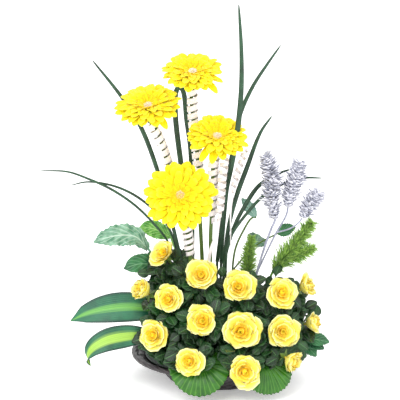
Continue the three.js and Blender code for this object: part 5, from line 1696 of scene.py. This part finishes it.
@dataclass
class Strap:
    """Strap leaf or tuft: folded blades that narrow to their tips."""

    place: StrapPlace

    def blade(self, line: Line, half: float, tip: float) -> Skin:
        """Blade: its two halves fold forward along a middle line, and it tapers to the tip."""
        share = np.linspace(0, 1, 60)
        side = unit(np.cross(np.array([0.0, 1.0, 0.0]), line.along(share)))
        taper = np.minimum(1, tip + (1 - tip) * np.sqrt(np.clip(2.4 * share, 0, 1)))
        width = (half * taper * (1 - 0.35 * share**2))[:, None, None]
        u = np.linspace(-1, 1, 7)[None, :, None]
        fold = np.array([0.0, -1.0, 0.0]) * 0.4 * width * (1 - np.abs(u) ** 1.5)
        points = line.at(share)[:, None] + side[:, None] * u * width + fold
        return sheets(points[None], 0.8, 0.5)

    def build(self, shop: Workshop, name: str) -> None:
        """Adds the blades and their root."""
        skins = [self.blade(Line(blade.line), blade.half, blade.tip) for blade in self.place.blades]
        skins.append(tube(Line(self.place.root).at(np.linspace(0, 1, 20)), 2.0, 10))
        shop.piece(f"{name}_blades", Skin.joined(skins), STRAP_BLADE, "strap_blade", name)


def frames_on(line: Line, share: np.ndarray) -> tuple[np.ndarray, np.ndarray, np.ndarray, np.ndarray]:
    """Points of a line, with two directions across it and the one along it."""
    along = line.along(share)
    first = unit(np.cross(np.array([0.0, 1.0, 0.0]), along))
    return line.at(share), first, np.cross(along, first), along


@dataclass
class SilverSpray:
    """Silver spray: three heads of small scaly leaves on thin grey stems."""

    scales: int = 560
    clusters: float = 7.0
    radii: tuple[float, float, float] = (1.8, 1.4, 1.2)

    def head(self, line: Line, reach: float, seed: int) -> Skin:
        """Head: round-tipped scale leaves set by the golden angle, longest in each of its clusters."""
        number = np.arange(self.scales)
        share = np.clip((number + scatter(number + seed)) / self.scales, 0, 1) ** 0.9
        foot, first, second, along = frames_on(line, share * 0.98)
        angle = (GOLDEN * number)[:, None]
        tuft = 0.85 + 0.15 * np.cos(TURN * self.clusters * share + 2 * angle[:, 0])
        outline = 0.5 + 0.5 * np.sin(np.pi * np.clip(share, 0.02, 0.98)) ** 0.6
        long = (1.25 * reach * outline * tuft * (0.55 + 0.6 * scatter(number + 0.3 + seed)))[:, None]
        outward = first * np.cos(angle) + second * np.sin(angle)
        run = unit(outward + along * (0.3 + 0.6 * scatter(number + 0.6 + seed)[:, None]))
        side = unit(np.cross(run, along))
        v = np.array([0.0, 0.35, 0.65, 0.88, 1.0])[None, :, None, None]
        u = np.linspace(-1, 1, 3)[None, None, :, None]
        width = 2.8 * np.maximum(0.12, np.sin(np.pi * np.clip(v * 0.62 + 0.34 * v**4, 0, 0.97)))
        cup = 0.9 * u**2 * v
        points = (foot[:, None, None] + run[:, None, None] * v * long[:, None, None]
                  + side[:, None, None] * u * width + along[:, None, None] * cup)
        tones = np.clip(0.25 + 0.75 * scatter(number + seed + 0.1), 0, 1)
        return sheets(points, 0.5, tones)

    def build(self, shop: Workshop) -> None:
        """Adds the heads and the stems."""
        heads = [self.head(Line(line), reach, 40 * k) for k, (line, reach) in enumerate(SILVER_HEADS)]
        shop.piece("silver_heads", Skin.joined(heads), SILVER_SCALE, "silver_foliage", "silver_spray")
        shares = np.linspace(0, 1, 40)
        stems = [tube(Line(line).at(shares), radius, 8) for line, radius in zip(SILVER_STEMS, self.radii)]
        cores = [tube(Line(line).at(shares), 1.2, 8) for line, _ in SILVER_HEADS]
        shop.piece("silver_stems", Skin.joined([*stems, *cores]), SILVER_STEM, "silver_foliage",
                   "silver_spray")


@dataclass
class Plume:
    """Foxtail plume: fine needles all along each branch."""

    seed: int
    needles_per_mm: float = 34.0

    def brush(self, line: Line, reach: float, seed: int) -> Skin:
        """Brush: thin spindles that lean forward, as long at the middle as the reach."""
        count = int(self.needles_per_mm * line.length)
        number = np.arange(count)
        share = (number + scatter(number + seed)) / (count + 1)
        foot, first, second, along = frames_on(line, share)
        angle = (GOLDEN * number + 0.6 * scatter(number + seed + 0.2))[:, None]
        outline = np.minimum(1, 0.5 + 3 * share) * (1 - 0.55 * share**1.5)
        sprig = 0.70 + 0.30 * np.cos(TURN * 7 * share + 3 * angle[:, 0])
        long = 1.6 * reach * outline * sprig * (0.50 + 0.6 * scatter(number + seed + 0.4))
        lean = 0.35 + 0.55 * scatter(number + seed + 0.6)[:, None]
        run = unit(first * np.cos(angle) + second * np.sin(angle) + along * lean)
        return spindles(foot, run, long, (0.40, 0.45, 0.2), 0.15 + 0.75 * scatter(number + 0.8))

    def build(self, shop: Workshop, name: str) -> None:
        """Adds the needles with their stems."""
        root, branches = PLUMES[name]
        skins = [self.brush(Line(line), reach, self.seed + 7 * k) for k, (line, reach) in enumerate(branches)]
        skins.append(tube(Line(root).at(np.linspace(0, 1, 20)), 1.8, 8, 0.3))
        skins += [tube(Line(line).at(np.linspace(0, 1, 16)), 1.3, 8, 0.2) for line, _ in branches]
        shop.piece(f"plume_{name}_needles", Skin.joined(skins), PLUME_NEEDLE, "plume", f"plume_{name}")


@dataclass
class BroadLeaf:
    """Broad leaf: an arched blade with a sunk midrib and waved edges."""

    place: BroadPlace
    finish: LeafFinish
    slot: str
    crinkle: float = 0.0

    def build(self, shop: Workshop, name: str) -> None:
        """Adds the blade and its stalk.

        The blade lies across its line by its width, which swells and narrows as a sine, and lifts to
        its edges with a running wave and finer crinkles.
        """
        place = self.place
        line = Line(place.line)
        share = np.linspace(0, 1, 70)
        lean = unit(np.array(place.across, float))
        along = line.along(share)
        side = unit(lean - along * (along @ lean)[:, None])
        face = unit(np.cross(side, along))
        s = share[:, None]
        point = np.sqrt(np.clip((1.004 - s) / 0.14, 0, 1))
        u = np.linspace(-1, 1, 25)[None, :]
        frill = 1 - 0.05 * self.crinkle * (1 + np.sin(TURN * 13 * s)) * np.abs(u) ** 3
        width = place.half_width * np.sin(np.pi * (0.05 + 0.92 * s)) ** 0.75 * point * frill
        ripple = place.wave * u**2 * np.sin(TURN * place.waves * s) + 0.12 * width * np.abs(u)
        quilt = self.crinkle * np.sin(TURN * (9 * s - 3.0 * np.abs(u))) * np.sin(np.pi * np.abs(u))
        rib = -0.5 * np.exp(-((u / 0.06) ** 2))
        height = ((ripple + quilt + rib) * point)[..., None]
        points = line.at(share)[:, None] + side[:, None] * (u * width)[..., None] + face[:, None] * height
        root = tube(Line(place.root).at(np.linspace(0, 1, 30)), 1.8, 10)
        skin = Skin.joined([sheets(points[None], 0.7, 0.5), root])
        shop.piece(f"{name}_blade", skin, self.finish, self.slot, name)


@dataclass
class RoundLeaf:
    """Round leaf: a fan of pleats that runs forward from its stalk and bends down along an arc."""

    place: RoundPlace
    pleats: int = 28
    fold: float = 0.022

    def build(self, shop: Workshop, name: str) -> None:
        """Adds the fan and its stalk.

        Each point lies at a share of the radius on a ray of the fan, is carried along an arc that
        bends down with the distance forward, and stands off by the pleat.
        """
        place = self.place
        first, last = place.slopes
        bend = (last - first) / place.radius
        u = np.linspace(-1, 1, 8 * self.pleats + 1)[None, :]
        v = np.linspace(0, 1, 24)[:, None]
        scallop = 1 - 0.03 * (1 - np.cos(np.pi * self.pleats * (u + 1))) / 2
        out = place.radius * (0.06 + 0.94 * v * scallop) * (1 - 0.10 * u**2)
        forward = out * np.cos(u * place.spread)
        lateral = place.wide * out * np.sin(u * place.spread)
        slope = first + bend * np.maximum(0, forward)
        ahead = np.minimum(0, forward) * math.cos(first) + (np.sin(slope) - math.sin(first)) / bend
        down = np.minimum(0, forward) * math.sin(first) - (np.cos(slope) - math.cos(first)) / bend
        wave = np.arcsin(0.94 * np.cos(np.pi * self.pleats * (u + 1) / 2)) / (np.pi / 2)
        fold = self.fold * place.radius * v * wave
        droop = place.sag * lateral**2 / place.radius
        points = np.stack([lateral, -ahead - fold * np.sin(slope), fold * np.cos(slope) - down - droop], -1)
        turn = place.turn
        cos, sin = math.cos(turn), math.sin(turn)
        spin = np.array([[cos, -sin, 0], [sin, cos, 0], [0, 0, 1]])
        fan = sheets(placed(points, (spin, np.array(place.heart, float)))[None], 0.7, 0.5)
        root = tube(Line([place.heart, *place.root]).at(np.linspace(0, 1, 30)), 2.0, 10)
        shop.piece(f"{name}_fan", Skin.joined([fan, root]), ROUND_LEAF, "round_leaf", name)


# ---------------------------------------------------------------- the arrangement


def clear_balls(roses: Iterable[Rose]) -> np.ndarray:
    """Centre and radius of balls about the blooms, the striped leaves and the left of the rim."""
    rows = [[*placed(np.array([0, 0, 0.55 * rose.tall]), rose.frame), rose.place.radius] for rose in roses]
    for name in ("striped_upper", "striped_lower"):
        place = BROAD_LEAVES[name]
        rows += [[*point, place.half_width + 1] for point in Line(place.line).at(np.linspace(0.3, 1, 8))]
    turn = np.radians(np.linspace(188, 232, 14))
    rows += [[RIM_RADIUS * math.cos(a), RIM_RADIUS * math.sin(a), RIM_LEVEL, RIM_CLEAR] for a in turn]
    return np.array(rows)


def main() -> None:
    """Builds the arrangement piece by piece."""
    logging.basicConfig(level=logging.INFO, format="%(name)s: %(message)s")
    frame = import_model()
    Studio().build()
    shop = Workshop(frame)
    Basket().build(shop)
    for number, (letter, place) in enumerate(GERBERAS.items()):
        GerberaHead(number, place).build(shop, letter)
        GerberaStem(place).build(shop, letter)
    Ribbons().build(shop)
    roses = {name: Rose(number, place) for number, (name, place) in enumerate(ROSES.items())}
    for name, rose in roses.items():
        rose.build(shop, name)
    guards = clear_balls(roses.values())
    for number, (name, (stem, carried)) in enumerate(ROSE_STEMS.items()):
        RoseStem(number, stem, [roses[key] for key in carried]).build(shop, name, guards)
    for name, strap in STRAPS.items():
        Strap(strap).build(shop, name)
    SilverSpray().build(shop)
    for number, name in enumerate(PLUMES):
        Plume(30 * number).build(shop, name)
    broad = {
        "pale_leaf": (PALE_LEAF, "pale_leaf", 1.0),
        "bright_leaf": (BRIGHT_LEAF, "bright_leaf", 0.6),
        "dark_leaf": (DARK_LEAF, "foliage", 0.4),
        "striped_upper": (STRIPED_UPPER, "striped_leaf", 0.0),
        "striped_lower": (STRIPED_LOWER, "striped_leaf", 0.0),
    }
    for name, (finish, slot, crinkle) in broad.items():
        BroadLeaf(BROAD_LEAVES[name], finish, slot, crinkle).build(shop, name)
    for name, place in ROUND_LEAVES.items():
        RoundLeaf(place).build(shop, name)
    spray_looks = {"blue_leaf": (BLUE_LEAF, "pale_leaf")}
    for number, (name, place) in enumerate(LEAFY_SPRAYS.items()):
        looks = spray_looks.get(name, (DARK_LEAF, "foliage"))
        LeafySpray(90 + 5 * number, place, *looks).build(shop, name, guards)


if __name__ == "__main__":
    main()
